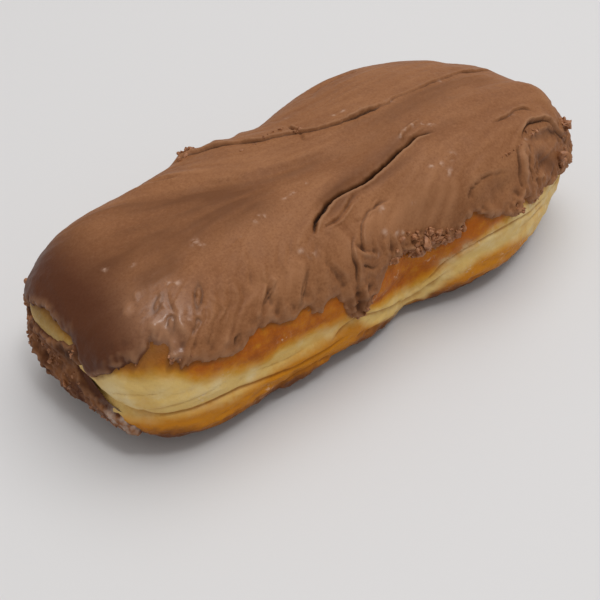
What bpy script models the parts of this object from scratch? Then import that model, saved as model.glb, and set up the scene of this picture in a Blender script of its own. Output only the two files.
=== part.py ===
# A long john doughnut: a bar of fried yeast dough with chocolate icing spread on top.
#
# The bar lies along X. +X is its far end, -Y its front side, and it rests on Z = 0.
# Sizes below are in millimetres and are turned into metres when a mesh is made.
# Both pieces start as a block of unit size (-1 to 1 each way), cut into a grid,
# whose points dough_point() bends into the rounded, waisted bar.

import bpy
import bmesh
import math
from mathutils import Vector

MM = 0.001

# The bar of dough.
NEAR_REACH = 75.2          # from the middle to the near end, -X
FAR_REACH = 74.4           # from the middle to the far end, +X
FRONT_HALF_WIDTH = 29.7
BACK_HALF_WIDTH = 30.7
WIDEST_HEIGHT = 15.0       # the bar is widest here, at its pale band
NEAR_TOP = 37.4            # height of the dough's top at the near end
FAR_TOP = 41.2             # height of the dough's top at the far end
MIDDLE_TOP = 38.8

# How square the corners are: 2 is an ellipse, larger is squarer.
NEAR_FRONT_CORNER = 5.2
NEAR_BACK_CORNER = 3.7
FAR_FRONT_CORNER = 3.8
FAR_BACK_CORNER = 2.65
UPPER_ROUNDING = 2.95
NEAR_END_ROUNDING = 3.8    # the ends stand more upright than the long sides
FAR_END_ROUNDING = 3.15
LOWER_ROUNDING = 3.7
FLAT_BASE = 0.93           # the lower rounding is cut flat below this share

NEAR_SLANT = 1.8           # the near end leans back towards -Y
FAR_SLANT = 2.7            # the far end leans back towards +Y
FAR_FOOT = 1.3             # the far end swells out this much below its fold

# Swellings and dents of the two sides: (depth, place along X, reach along X).
FRONT_SHAPES = ((-3.0, 4.8, 9.5), (4.6, 34.0, 20.0), (-0.9, -43.0, 22.0))
BACK_SHAPES = ((-2.8, -6.5, 12.0), (2.7, 35.0, 20.0), (-0.5, -43.0, 22.0))

# The fold that runs round the bar at its pale band.
FOLD_DEPTH = 1.3
FOLD_REACH = 0.10          # of the unit height
END_FOLD_DEPTH = 2.6       # it is deeper at the near end
END_FOLD_FROM = -66.0

# The icing. Each stand-off is how far its outer face lies from the dough.
ICING_GAP = 0.8            # its inner face, clear of the dough
RIM_STAND_OFF = 1.9
TOP_STAND_OFF = 2.5
SMEAR_STAND_OFF = 1.5
LEAST_STAND_OFF = 1.5

# The icing's lower edge on each side of the bar: height at places along X,
# or along Y on the two ends. Most of the near end is a thin smear that reaches lower.
FRONT_EDGE = (
    (-73, 26), (-69, 28), (-66, 31), (-64, 27.5), (-61.5, 28.5), (-55, 25.5), (-48, 25), (-43, 27.2),
    (-35, 25), (-30.5, 26.3), (-26.5, 22.8), (-23.5, 25), (-20.5, 23), (-18.5, 16.5), (-14.5, 16),
    (-12, 20), (-8, 21), (-3, 25.3), (4, 22.3), (10, 21.5), (15, 24), (20.5, 27.7), (27, 24.7),
    (34, 22.3), (37, 25), (43, 21.2), (49, 22.4), (60, 19), (72, 17),
)
BACK_EDGE = (
    (-70, 22), (-58, 25), (-47, 21), (-36, 26), (-24, 20.5), (-12, 24.5), (-2, 25), (9, 20.5),
    (22, 25), (33, 22), (44, 24.5), (56, 19), (70, 18),
)
NEAR_END_EDGE = (
    (-22, 28), (-16, 26), (-13, 22.8), (-9.5, 23), (-6, 9), (0, 6.5), (10, 6), (18, 8), (24, 20),
)
FAR_END_EDGE = ((-22, 17.5), (-12, 15.5), (-3, 19), (8, 15), (18, 19.5))

# The window in the smear where the bulging dough shows: centre and half size in Y and Z.
WINDOW_CENTRE = (5.5, 23.0)
WINDOW_HALF_SIZE = (10.5, 4.6)

# Marks of the spreading knife, each a path in X and Y.
RIDGE_PATH = ((-22, 21), (-10, 13.5), (-1, 9), (11, 4), (22, 2.2), (45, 4), (62, 4.5))
RIDGE_STEP = 1.3           # the icing behind the ridge stands this much higher
CREASE_PATH = ((-21, -20), (-16, -17.4), (-7, -15.6), (10, -14), (22, -12.4))
CREASE_DEPTH = 1.5
BACK_GROOVE_PATH = ((14, 21.5), (26, 24), (40, 23), (52, 18))
BACK_GROOVE_DEPTH = 0.8
SCOOP_CENTRE = (34.0, -23.0)
SCOOP_DEPTH = 1.0
END_LUMP_CENTRE = (62.0, -15.0)
END_LUMP_HEIGHT = 1.6

# Colours and finishes: (red, green, blue), roughness.
DOUGH_FINISH = ((0.62, 0.33, 0.075), 0.62)
ICING_FINISH = ((0.23, 0.105, 0.055), 0.5)

# Cuts of the unit blocks. The dough has one cut along its fold.
DOUGH_CUTS = (40, 16)      # along the bar and across it
ICING_CUTS = (52, 18)
DOUGH_LEVELS = (-0.86, -0.68, -0.48, -0.28, -0.1, 0.0, 0.1, 0.26, 0.46, 0.68, 0.86)
ICING_LEVELS = (-0.72, -0.42, -0.12, 0.18, 0.46, 0.74)


def smooth_step(start, end, value):
    """Rise from 0 at start to 1 at end along a soft S."""
    share = min(max((value - start) / (end - start), 0.0), 1.0)
    return share * share * (3.0 - 2.0 * share)


def swell(value, centre, reach):
    """A round hump of height 1 at centre."""
    return math.exp(-((value - centre) / reach) ** 2)


def clear_scene():
    for thing in list(bpy.data.objects):
        bpy.data.objects.remove(thing, do_unlink=True)


def finish(name, colour, roughness):
    """A plain shaded material of one colour."""
    material = bpy.data.materials.new(name)
    material.use_nodes = True
    shader = material.node_tree.nodes["Principled BSDF"]
    shader.inputs["Base Color"].default_value = (*colour, 1.0)
    shader.inputs["Roughness"].default_value = roughness
    shader.inputs["Metallic"].default_value = 0.0
    return material


def add_object(name, bm, material):
    """Turn a finished bmesh, in millimetres, into a named object in metres."""
    bmesh.ops.scale(bm, vec=(MM, MM, MM), verts=bm.verts)
    mesh = bpy.data.meshes.new(name)
    bm.to_mesh(mesh)
    bm.free()
    mesh.materials.append(material)
    mesh.shade_smooth()
    thing = bpy.data.objects.new(name, mesh)
    bpy.context.collection.objects.link(thing)
    return thing


def unit_block(cuts, levels):
    """A cube from -1 to 1, cut into a grid of four-sided faces."""
    bm = bmesh.new()
    bmesh.ops.create_cube(bm, size=2.0)
    along, across = ([2.0 * step / count - 1.0 for step in range(1, count)] for count in cuts)
    for axis, places in enumerate((along, across, levels)):
        normal = Vector([1.0 if index == axis else 0.0 for index in range(3)])
        for place in places:
            everything = bm.verts[:] + bm.edges[:] + bm.faces[:]
            bmesh.ops.bisect_plane(bm, geom=everything, plane_co=normal * place, plane_no=normal)
    return bm


def corner_power(x, y):
    """How square the bar's outline is in this quarter of the plan."""
    if x < 0:
        return NEAR_FRONT_CORNER if y < 0 else NEAR_BACK_CORNER
    return FAR_FRONT_CORNER if y < 0 else FAR_BACK_CORNER


def side_width(base, shapes, along):
    """Half width of one side of the bar at a place along it."""
    return base + sum(depth * swell(along, place, reach) for depth, place, reach in shapes)


def dough_point(unit, folded=True):
    """Bend a point of the unit block into the dough's surface, in millimetres."""
    x, y, z = unit
    corner = corner_power(x, y)
    rounding = UPPER_ROUNDING if z > 0 else LOWER_ROUNDING
    plan = (abs(x) ** corner + abs(y) ** corner) ** (1.0 / corner)
    if z > 0 and plan > 0:
        end_share = (abs(x) / plan) ** corner
        end_rounding = NEAR_END_ROUNDING if x < 0 else FAR_END_ROUNDING
        rounding += (end_rounding - UPPER_ROUNDING) * end_share
    size = (plan ** rounding + abs(z) ** rounding) ** (1.0 / rounding)
    fold = swell(z, 0.0, FOLD_REACH) if folded else 0.0
    x, y, z = x / size, y / size, z / size

    along = x * (NEAR_REACH if x < 0 else FAR_REACH)
    along -= NEAR_SLANT * smooth_step(-38, -78, along) * y
    along -= FAR_SLANT * smooth_step(42, 82, along) * y
    along += FAR_FOOT * smooth_step(45, 72, along) * smooth_step(0.35, -0.1, z)

    top = MIDDLE_TOP
    top += (NEAR_TOP - MIDDLE_TOP) * smooth_step(-6, -43, along)
    top += (FAR_TOP - MIDDLE_TOP) * smooth_step(-6, 32, along)
    if z > 0:
        height = WIDEST_HEIGHT + z * (top - WIDEST_HEIGHT)
    else:
        height = WIDEST_HEIGHT * (1.0 - min(-z, FLAT_BASE) / FLAT_BASE)

    if y < 0:
        across = y * side_width(FRONT_HALF_WIDTH, FRONT_SHAPES, along)
    else:
        across = y * side_width(BACK_HALF_WIDTH, BACK_SHAPES, along)

    # the fold pulls the side in, towards the middle of the bar
    depth = FOLD_DEPTH + (END_FOLD_DEPTH - FOLD_DEPTH) * smooth_step(END_FOLD_FROM, -76, along)
    inward = Vector((-along / NEAR_REACH, -across / FRONT_HALF_WIDTH, 0.0))
    inward = inward.normalized() * depth * fold * smooth_step(0.5, 0.9, plan / size)
    return Vector((along, across, height)) + inward


def make_dough():
    bm = unit_block(DOUGH_CUTS, DOUGH_LEVELS)
    for vert in bm.verts:
        vert.co = dough_point(vert.co)
    bm.normal_update()
    # the flat base is one face
    base = [edge for edge in bm.edges if all(face.normal.z < -0.9999 for face in edge.link_faces)]
    base = [edge for edge in base if max(vert.co.z for vert in edge.verts) < 1e-5]
    bmesh.ops.dissolve_edges(bm, edges=base, use_verts=True)
    bmesh.ops.triangulate(bm, faces=bm.faces[:], quad_method="SHORT_EDGE")
    return add_object("dough", bm, finish("fried dough", *DOUGH_FINISH))


def path_height(path, place):
    """Height of a path at a place along it, straight between its points."""
    if place <= path[0][0]:
        return path[0][1]
    for (start, low), (end, high) in zip(path, path[1:]):
        if place <= end:
            return low + (high - low) * (place - start) / (end - start)
    return path[-1][1]


def edge_height(along, across):
    """Height of the icing's lower edge at a place on the bar's outline."""
    height = path_height(FRONT_EDGE if across < 0 else BACK_EDGE, along)
    near_end = smooth_step(-67, -72, along)
    far_end = smooth_step(64, 71, along)
    height += (path_height(NEAR_END_EDGE, across) - height) * near_end
    return height + (path_height(FAR_END_EDGE, across) - height) * far_end


def unit_height(height):
    """The unit block's level whose point on the side lies at this height."""
    if height > WIDEST_HEIGHT:
        return (height - WIDEST_HEIGHT) / (MIDDLE_TOP - WIDEST_HEIGHT)
    return -FLAT_BASE * (1.0 - height / WIDEST_HEIGHT)


def side_level(height):
    """The same level before the block's edges are rounded off."""
    level = unit_height(height)
    rounding = UPPER_ROUNDING if level > 0 else LOWER_ROUNDING
    share = min(abs(level), 0.97) ** rounding
    return math.copysign((share / (1.0 - share)) ** (1.0 / rounding), level)


def path_offset(path, x, y):
    """Distance from a path of points, and on which side of it (x, y) lies."""
    nearest = None
    for (ax, ay), (bx, by) in zip(path, path[1:]):
        run_x, run_y = bx - ax, by - ay
        share = ((x - ax) * run_x + (y - ay) * run_y) / (run_x ** 2 + run_y ** 2)
        share = min(max(share, 0.0), 1.0)
        gap = math.hypot(x - ax - share * run_x, y - ay - share * run_y)
        side = run_x * (y - ay) - run_y * (x - ax)
        if nearest is None or gap < nearest[0]:
            nearest = (gap, side)
    return nearest


def stand_off(point, rise):
    """How far the icing's outer face stands off the dough.

    Rise is 0 at the icing's lower edge and 1 on its top.
    """
    x, y, z = point
    reach = RIM_STAND_OFF + (TOP_STAND_OFF - RIM_STAND_OFF) * smooth_step(0.0, 0.6, rise)
    low_end = smooth_step(-68, -74, x) * smooth_step(28, 20, z)
    reach += (SMEAR_STAND_OFF - reach) * low_end
    on_top = smooth_step(26, 31, z)

    gap, side = path_offset(RIDGE_PATH, x, y)
    reach += on_top * RIDGE_STEP * math.exp(-gap / 9.0) * (1.0 if side > 0 else 0.0)
    gap, side = path_offset(CREASE_PATH, x, y)
    reach -= on_top * CREASE_DEPTH * swell(gap, 0.0, 1.6)
    gap, side = path_offset(BACK_GROOVE_PATH, x, y)
    reach -= on_top * BACK_GROOVE_DEPTH * swell(gap, 0.0, 1.8)
    scoop = math.hypot(x - SCOOP_CENTRE[0], (y - SCOOP_CENTRE[1]) * 1.3)
    reach -= SCOOP_DEPTH * swell(scoop, 0.0, 6.0)
    lump = math.hypot(x - END_LUMP_CENTRE[0], y - END_LUMP_CENTRE[1])
    reach += END_LUMP_HEIGHT * swell(lump, 0.0, 7.0) * on_top
    return max(reach, LEAST_STAND_OFF)


def in_window(face):
    """Whether a face of the near end lies in the gap where the dough shows."""
    middle = face.calc_center_median()
    if middle.x > -66:
        return False
    across = (middle.y - WINDOW_CENTRE[0]) / WINDOW_HALF_SIZE[0]
    up = (middle.z - WINDOW_CENTRE[1]) / WINDOW_HALF_SIZE[1]
    return across ** 2 + up ** 2 < 1.0


def icing_sheet():
    """The dough's surface above the icing's lower edge, and how far up each point is."""
    bm = unit_block(ICING_CUTS, ICING_LEVELS)
    underside = [face for face in bm.faces if face.normal.z < -0.5]
    bmesh.ops.delete(bm, geom=underside, context="FACES")
    rises = {}
    for vert in bm.verts:
        x, y, z = vert.co
        rise = (z + 1.0) / 2.0
        reach = max(abs(x), abs(y))
        if reach > 0.999:
            outline = dough_point((x, y, 0.2), folded=False)
            low = side_level(edge_height(outline.x, outline.y))
            z = low + (1.0 - low) * rise
        vert.co = dough_point((x, y, z), folded=False)
        rises[vert] = rise
    bmesh.ops.delete(bm, geom=[face for face in bm.faces if in_window(face)], context="FACES")
    bm.normal_update()
    return bm, rises


def make_icing():
    bm, rises = icing_sheet()
    sheet_faces = bm.faces[:]
    rim = [edge for edge in bm.edges if edge.is_boundary]
    inner = {}
    outer_places = {}
    for vert in bm.verts[:]:
        inner[vert] = bm.verts.new(vert.co + vert.normal * ICING_GAP)
        outer_places[vert] = vert.co + vert.normal * stand_off(vert.co, rises[vert])
    for vert, place in outer_places.items():
        vert.co = place
    for face in sheet_faces:
        bm.faces.new([inner[vert] for vert in reversed(face.verts)])
    for edge in rim:
        first, second = edge.verts
        bm.faces.new((first, second, inner[second], inner[first]))
    bmesh.ops.recalc_face_normals(bm, faces=bm.faces[:])
    bmesh.ops.triangulate(bm, faces=bm.faces[:], quad_method="SHORT_EDGE")
    return add_object("icing", bm, finish("chocolate icing", *ICING_FINISH))


def centre_on_origin(things):
    """Put the middle of the whole part's box over the origin, with its base on Z = 0."""
    points = [vert.co for thing in things for vert in thing.data.vertices]
    low = [min(point[axis] for point in points) for axis in range(3)]
    high = [max(point[axis] for point in points) for axis in range(3)]
    shift = Vector(((low[0] + high[0]) / 2, (low[1] + high[1]) / 2, low[2]))
    for thing in things:
        for vert in thing.data.vertices:
            vert.co -= shift


def main():
    clear_scene()
    centre_on_origin([make_dough(), make_icing()])


main()
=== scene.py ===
import math

import bpy
import numpy as np
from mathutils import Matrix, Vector


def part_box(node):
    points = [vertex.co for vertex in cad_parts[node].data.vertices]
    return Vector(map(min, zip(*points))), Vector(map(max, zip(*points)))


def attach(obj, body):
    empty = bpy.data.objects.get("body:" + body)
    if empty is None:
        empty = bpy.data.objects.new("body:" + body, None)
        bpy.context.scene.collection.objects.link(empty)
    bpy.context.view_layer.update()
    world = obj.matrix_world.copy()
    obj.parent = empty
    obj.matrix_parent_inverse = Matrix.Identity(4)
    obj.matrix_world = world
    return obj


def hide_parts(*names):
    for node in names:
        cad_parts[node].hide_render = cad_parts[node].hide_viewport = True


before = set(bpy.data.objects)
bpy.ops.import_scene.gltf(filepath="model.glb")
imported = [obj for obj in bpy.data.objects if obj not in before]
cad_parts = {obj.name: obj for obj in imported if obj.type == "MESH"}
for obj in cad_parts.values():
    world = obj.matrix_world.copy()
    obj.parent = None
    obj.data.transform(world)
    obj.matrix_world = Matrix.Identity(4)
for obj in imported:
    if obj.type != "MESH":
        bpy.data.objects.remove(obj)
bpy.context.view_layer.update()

mm = 0.001
print("frame loaded")

# The bar of dough in millimetres, measured from its own middle
bar = {
    "nearReach": 75.2, "farReach": 74.4, "frontHalf": 29.7, "backHalf": 30.7,
    "widestHeight": 15.0, "nearTop": 37.4, "middleTop": 38.8, "farTop": 41.2,
    "nearFrontCorner": 5.2, "nearBackCorner": 3.7, "farFrontCorner": 3.8, "farBackCorner": 2.65,
    "upperRounding": 2.95, "nearEndRounding": 3.8, "farEndRounding": 3.15, "lowerRounding": 3.7,
    "flatBase": 0.93, "nearSlant": 1.8, "farSlant": 2.7, "farFoot": 1.3,
    # where along the bar these begin and are full
    "nearSlantRun": (-38, -78), "farSlantRun": (42, 82), "farFootRun": (45, 72),
    "nearTopRun": (-6, -43), "farTopRun": (-6, 32), "endFoldRun": (-66, -76),
    # swellings of the two sides: depth, place along the bar, reach
    "frontShapes": [(-3.0, 4.8, 9.5), (4.6, 34.0, 20.0), (-0.9, -43.0, 22.0)],
    "backShapes": [(-2.8, -6.5, 12.0), (2.7, 35.0, 20.0), (-0.5, -43.0, 22.0)],
    "foldDepth": 0.55, "endFoldDepth": 2.2, "foldReach": 0.10,
}


def ease(start, end, value):
    share = np.clip((value - start) / (end - start), 0.0, 1.0)
    return share * share * (3.0 - 2.0 * share)


def hump(value, place, reach):
    return np.exp(-((value - place) / reach) ** 2)


def barPoints(block, folded=False):
    # block points lie on a cube from -1 to 1 and are bent into the rounded, waisted bar
    x, y, z = np.asarray(block, float).T
    corner = np.where(
        x < 0,
        np.where(y < 0, bar["nearFrontCorner"], bar["nearBackCorner"]),
        np.where(y < 0, bar["farFrontCorner"], bar["farBackCorner"]),
    )
    plan = np.maximum((abs(x) ** corner + abs(y) ** corner) ** (1 / corner), 1e-9)
    endShare = (abs(x) / plan) ** corner * (z > 0)
    rounding = np.where(z > 0, bar["upperRounding"], bar["lowerRounding"])
    endRounding = np.where(x < 0, bar["nearEndRounding"], bar["farEndRounding"])
    rounding = rounding + (endRounding - bar["upperRounding"]) * endShare
    size = (plan ** rounding + abs(z) ** rounding) ** (1 / rounding)
    fold = hump(z, 0.0, bar["foldReach"]) * ease(0.5, 0.9, plan / size) * folded
    x, y, z = x / size, y / size, z / size

    along = x * np.where(x < 0, bar["nearReach"], bar["farReach"])
    along = along - bar["nearSlant"] * ease(*bar["nearSlantRun"], along) * y
    along = along - bar["farSlant"] * ease(*bar["farSlantRun"], along) * y
    along = along + bar["farFoot"] * ease(*bar["farFootRun"], along) * ease(0.35, -0.1, z)
    top = bar["middleTop"] + (bar["nearTop"] - bar["middleTop"]) * ease(*bar["nearTopRun"], along)
    top = top + (bar["farTop"] - bar["middleTop"]) * ease(*bar["farTopRun"], along)
    wide, flat = bar["widestHeight"], bar["flatBase"]
    height = np.where(z > 0, wide + z * (top - wide), wide * (1 - np.minimum(-z, flat) / flat))
    front = bar["frontHalf"] + sum(d * hump(along, p, r) for d, p, r in bar["frontShapes"])
    back = bar["backHalf"] + sum(d * hump(along, p, r) for d, p, r in bar["backShapes"])
    across = y * np.where(y < 0, front, back)

    depth = bar["foldDepth"] + (bar["endFoldDepth"] - bar["foldDepth"]) * ease(*bar["endFoldRun"], along)
    inX, inY = -along / bar["nearReach"], -across / bar["frontHalf"]
    inward = depth * fold / np.maximum(np.hypot(inX, inY), 1e-9)
    return np.stack([along + inX * inward, across + inY * inward, height], 1)


# The charts: along and across follow the surface from the middle of the top,
# and around runs round the bar's sides from the middle of its front.
def runLength(points, axis):
    steps = np.linalg.norm(np.diff(points, axis=axis), axis=-1)
    start = np.zeros_like(np.take(steps, [0], axis=axis))
    return np.concatenate([start, np.cumsum(steps, axis=axis)], axis=axis)


def blockGrid(x, y, z):
    x, y, z = np.broadcast_arrays(x, y, z)
    points = barPoints(np.stack([x.ravel(), y.ravel(), z.ravel()], 1))
    return points.reshape(*x.shape, 3)


chartSteps = 241
faceLevel = 0.9999  # a block point past this lies on a face of the cube
level = np.linspace(-1, 1, chartSteps)
downLevel = level[::-1]
half = chartSteps // 2
topGrid = blockGrid(level[:, None], level[None, :], 1.0)
alongChart = runLength(topGrid, 0)
alongChart = alongChart - alongChart[half]
acrossChart = runLength(topGrid, 1)
acrossChart = acrossChart - acrossChart[:, half:half + 1]
downChart = {
    "front": runLength(blockGrid(level[:, None], -1.0, downLevel[None, :]), 1),
    "back": runLength(blockGrid(level[:, None], 1.0, downLevel[None, :]), 1),
    "near": runLength(blockGrid(-1.0, level[:, None], downLevel[None, :]), 1),
    "far": runLength(blockGrid(1.0, level[:, None], downLevel[None, :]), 1),
}


def readGrid(grid, first, second):
    # value of a grid between its points, for places from 0 to 1 each way
    rows, columns = grid.shape
    a = np.clip(first, 0, 1) * (rows - 1)
    b = np.clip(second, 0, 1) * (columns - 1)
    i = np.minimum(a.astype(int), rows - 2)
    j = np.minimum(b.astype(int), columns - 2)
    a, b = a - i, b - j
    low = grid[i, j] * (1 - b) + grid[i, j + 1] * b
    high = grid[i + 1, j] * (1 - b) + grid[i + 1, j + 1] * b
    return low * (1 - a) + high * a


def chartOf(block):
    # places of block points on the charts
    x, y, z = block.T
    fx, fy, down = (x + 1) / 2, (y + 1) / 2, (1 - z) / 2
    onTop = z > faceLevel
    onBase = z < -faceLevel
    onSide = (abs(y) > faceLevel) & ~onTop & ~onBase
    onEnd = ~onTop & ~onSide & ~onBase
    drop = np.zeros(len(x))
    for name, these, share in (
        ("front", onSide & (y < 0), fx), ("back", onSide & (y >= 0), fx),
        ("near", onEnd & (x < 0), fy), ("far", onEnd & (x >= 0), fy),
    ):
        drop[these] = readGrid(downChart[name], share[these], down[these])
    along = readGrid(alongChart, fx, fy) + np.where(onEnd, np.sign(x) * drop, 0)
    across = readGrid(acrossChart, fx, fy) + np.where(onSide, np.sign(y) * drop, 0)

    frontStart, frontEnd = alongChart[0, 0], alongChart[-1, 0]
    nearRound = frontStart - (np.interp(y, level, acrossChart[0]) - acrossChart[0, 0])
    farRound = frontEnd + np.interp(y, level, acrossChart[-1]) - acrossChart[-1, 0]
    backNear = frontStart - (acrossChart[0, -1] - acrossChart[0, 0])
    backFar = frontEnd + acrossChart[-1, -1] - acrossChart[-1, 0]
    backAlong = np.interp(x, level, alongChart[:, -1])
    backRound = np.where(
        x < 0, backNear - (backAlong - alongChart[0, -1]), backFar + alongChart[-1, -1] - backAlong
    )
    around = np.where(onSide, np.where(y < 0, np.interp(x, level, alongChart[:, 0]), backRound),
                      np.where(x < 0, nearRound, farRound))
    return {"along": along, "across": across, "around": around, "onTop": onTop, "onBase": onBase}


def cloud(points, size, seed):
    # soft random field from -1 to 1, with lumps of the given size
    turns = 64  # cells until the field repeats, a power of two
    lattice = np.random.default_rng(seed).uniform(-1, 1, (turns, turns, turns))
    cell = points / size + 1000.0  # keeps the cells' numbers positive
    base = np.floor(cell)
    share = cell - base
    share = share * share * (3 - 2 * share)
    base = base.astype(int)
    total = np.zeros(len(points))
    for corner in range(8):
        step = np.array([corner & 1, corner >> 1 & 1, corner >> 2 & 1])
        weight = np.prod(np.where(step, share, 1 - share), axis=1)
        index = (base + step) & (turns - 1)
        total += weight * lattice[index[:, 0], index[:, 1], index[:, 2]]
    return total


def layered(points, layers, start=0.0):
    # random layers on top of one another: height, size of the lumps, seed
    total = start
    for height, size, seed in layers:
        total = total + height * cloud(points, size, seed)
    return total


def folded(points, size, seed, level=0.35):
    # random field with sharp valleys
    return level - abs(cloud(points, size, seed))


def smoothPath(points, spacing=0.8):
    # a soft curve through a few points
    knots = np.array([points[0], *points, points[-1]], float)
    run = []
    for before, start, end, after in zip(knots, knots[1:], knots[2:], knots[3:]):
        count = max(int(np.hypot(*(end - start)) / spacing), 1)
        for share in np.arange(count) / count:
            bend = (2 * before - 5 * start + 4 * end - after) * share ** 2
            twist = (3 * start - before - 3 * end + after) * share ** 3
            run.append(start + 0.5 * ((end - before) * share + bend + twist))
    return np.array(run + [knots[-1]])


def alongPath(path, first, second):
    # signed gap to a path, positive on its left, and how far along it each point lies
    gap = np.full(len(first), 1e9)
    side, place, length = np.zeros(len(first)), np.zeros(len(first)), 0.0
    for start, end in zip(path, path[1:]):
        run = end - start
        size = np.hypot(*run)
        a, b = first - start[0], second - start[1]
        share = np.clip((a * run[0] + b * run[1]) / size ** 2, 0, 1)
        distance = np.hypot(a - share * run[0], b - share * run[1])
        nearer = distance < gap
        gap = np.where(nearer, distance, gap)
        side = np.where(nearer, np.sign(run[0] * b - run[1] * a), side)
        place = np.where(nearer, length + share * size, place)
        length += size
    return gap * side, place, length


def insideLoop(loop, first, second):
    # counts how often a line from each point crosses the loop
    inside = np.zeros(len(first), bool)
    for (ax, ay), (bx, by) in zip(loop, loop[1:] + loop[:1]):
        crosses = (ay > second) != (by > second)
        inside ^= crosses & (first < ax + (second - ay) * (bx - ax) / (by - ay + 1e-12))
    return inside


def markField(first, second, points, reach, profile, fade=3.0):
    # a mark drawn along a path: the profile of its cross section, fading at both ends
    path = smoothPath(points)
    low, high = path.min(0) - reach, path.max(0) + reach
    near = (first > low[0]) & (first < high[0]) & (second > low[1]) & (second < high[1])
    field = np.zeros(len(first))
    side, place, length = alongPath(path, first[near], second[near])
    fade = min(fade, length / 3)
    ends = ease(-0.1 * fade, fade, place) * ease(length + 0.1 * fade, length - fade, place)
    field[near] = profile(side) * ends
    return field


def softMarks(first, second, marks, fade, start=0.0, weight=1.0, span=3.0):
    # rounded marks on top of one another: height, reach, path
    total = start
    for height, reach, path in marks:
        mark = markField(first, second, path, reach * span,
                         lambda side: height * hump(side, 0, reach), fade)
        total = total + mark * weight
    return total


# Mesh helpers
def deselectAll():
    if bpy.context.object and bpy.context.object.mode == "EDIT":
        bpy.ops.object.mode_set(mode="OBJECT")
    bpy.ops.object.select_all(action="DESELECT")


def makeActive(piece):
    deselectAll()
    piece.select_set(True)
    bpy.context.view_layer.objects.active = piece


def cutBlock(name, counts, lowest, cuts):
    # a cube cut into coarse cells, then into fine ones
    deselectAll()
    bpy.ops.mesh.primitive_cube_add(size=2)
    piece = bpy.context.object
    piece.name = name
    bpy.ops.object.mode_set(mode="EDIT")
    starts = (-1.0, -1.0, lowest)
    for axis, (start, count) in enumerate(zip(starts, counts)):
        normal = [float(index == axis) for index in range(3)]
        first = 0 if start > -1 else 1
        for step in range(first, count):
            place = start + (1.0 - start) * step / count
            bpy.ops.mesh.select_all(action="SELECT")
            bpy.ops.mesh.bisect(
                plane_co=[place * share for share in normal], plane_no=normal,
                clear_inner=step == 0,
            )
    bpy.ops.mesh.select_all(action="SELECT")
    bpy.ops.mesh.subdivide(number_cuts=cuts)
    bpy.ops.object.mode_set(mode="OBJECT")
    return piece


def readPoints(piece):
    points = np.zeros(len(piece.data.vertices) * 3, np.float32)
    piece.data.vertices.foreach_get("co", points)
    return points.reshape(-1, 3).astype(float)


def writePoints(piece, points):
    piece.data.vertices.foreach_set("co", points.astype(np.float32).ravel())
    piece.data.update()


def blockPlaces(piece):
    # evens out the cells once the block is bent, and snaps its faces
    points = np.tan(np.clip(readPoints(piece), -1, 1) * math.pi / 4)
    return np.where(abs(points) > 0.99999, np.sign(points), points)


def surfaceNormals(piece):
    normals = np.zeros(len(piece.data.vertices) * 3, np.float32)
    piece.data.vertex_normals.foreach_get("vector", normals)
    return normals.reshape(-1, 3).astype(float)


def storeFields(piece, fields):
    # values at the points, which the materials read by name
    for name, values in fields.items():
        attribute = piece.data.attributes.new(name, "FLOAT", "POINT")
        attribute.data.foreach_set("value", values.astype(np.float32))


def deleteFaces(piece, doomedPoints):
    # removes the faces whose points are all doomed
    counts = np.zeros(len(piece.data.polygons), np.int32)
    corners = np.zeros(len(piece.data.loops), np.int32)
    piece.data.polygons.foreach_get("loop_total", counts)
    piece.data.loops.foreach_get("vertex_index", corners)
    starts = np.concatenate([[0], np.cumsum(counts)[:-1]])
    doomed = np.add.reduceat(doomedPoints[corners].astype(int), starts) == counts
    makeActive(piece)
    bpy.ops.object.mode_set(mode="EDIT")
    bpy.ops.mesh.select_mode(type="FACE")
    bpy.ops.object.mode_set(mode="OBJECT")
    piece.data.vertices.foreach_set("select", np.zeros(len(piece.data.vertices), bool))
    piece.data.edges.foreach_set("select", np.zeros(len(piece.data.edges), bool))
    piece.data.polygons.foreach_set("select", doomed)
    bpy.ops.object.mode_set(mode="EDIT")
    bpy.ops.mesh.delete(type="FACE")
    bpy.ops.mesh.select_all(action="SELECT")
    bpy.ops.mesh.delete_loose()
    bpy.ops.object.mode_set(mode="OBJECT")


def applyModifier(piece, kind, **settings):
    modifier = piece.modifiers.new(kind.lower(), kind)
    for name, value in settings.items():
        setattr(modifier, name, value)
    makeActive(piece)
    bpy.ops.object.modifier_apply(modifier=modifier.name)


def thinOut(piece, hidden, share):
    # fewer faces where they are hidden
    group = piece.vertex_groups.new(name="hidden")
    group.add([int(index) for index in np.nonzero(hidden)[0]], 1.0, "REPLACE")
    applyModifier(piece, "DECIMATE", vertex_group=group.name, ratio=share)
    piece.vertex_groups.clear()


def thinTo(piece, target):
    # merges the flattest faces until no more triangles than the target are left
    piece.data.calc_loop_triangles()
    count = len(piece.data.loop_triangles)
    print(piece.name, count, "triangles before thinning")
    if count > target:
        applyModifier(piece, "DECIMATE", ratio=target / count)


# Where the bar's own middle lies in the frame
ownBar = barPoints(np.concatenate([
    np.stack([a.ravel(), b.ravel(), np.zeros(a.size)], 1)
    for a, b in [np.broadcast_arrays(level, s) for s in (-1.0, 1.0)]
    + [np.broadcast_arrays(s, level) for s in (-1.0, 1.0)]
]))
doughLow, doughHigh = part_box("dough")
barMiddle = np.array([
    (doughLow[axis] + doughHigh[axis]) / 2 / mm - (ownBar[:, axis].min() + ownBar[:, axis].max()) / 2
    for axis in (0, 1)
] + [0.0])
print("bar middle", barMiddle.round(2))


# Swellings of the sides: height, place around, height of the place, reach around, reach up
doughSwells = [
    (1.1, 60, 21, 9, 7), (1.0, 40, 13, 14, 8), (-0.9, -66, 6, 9, 5), (0.9, -86.5, 24, 8.5, 2.8),
    (-0.7, -84, 16.5, 12, 3), (0.5, -6, 20, 8, 3), (1.0, 0, 5, 13, 4), (0.7, -48, 8, 14, 5),
]


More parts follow.
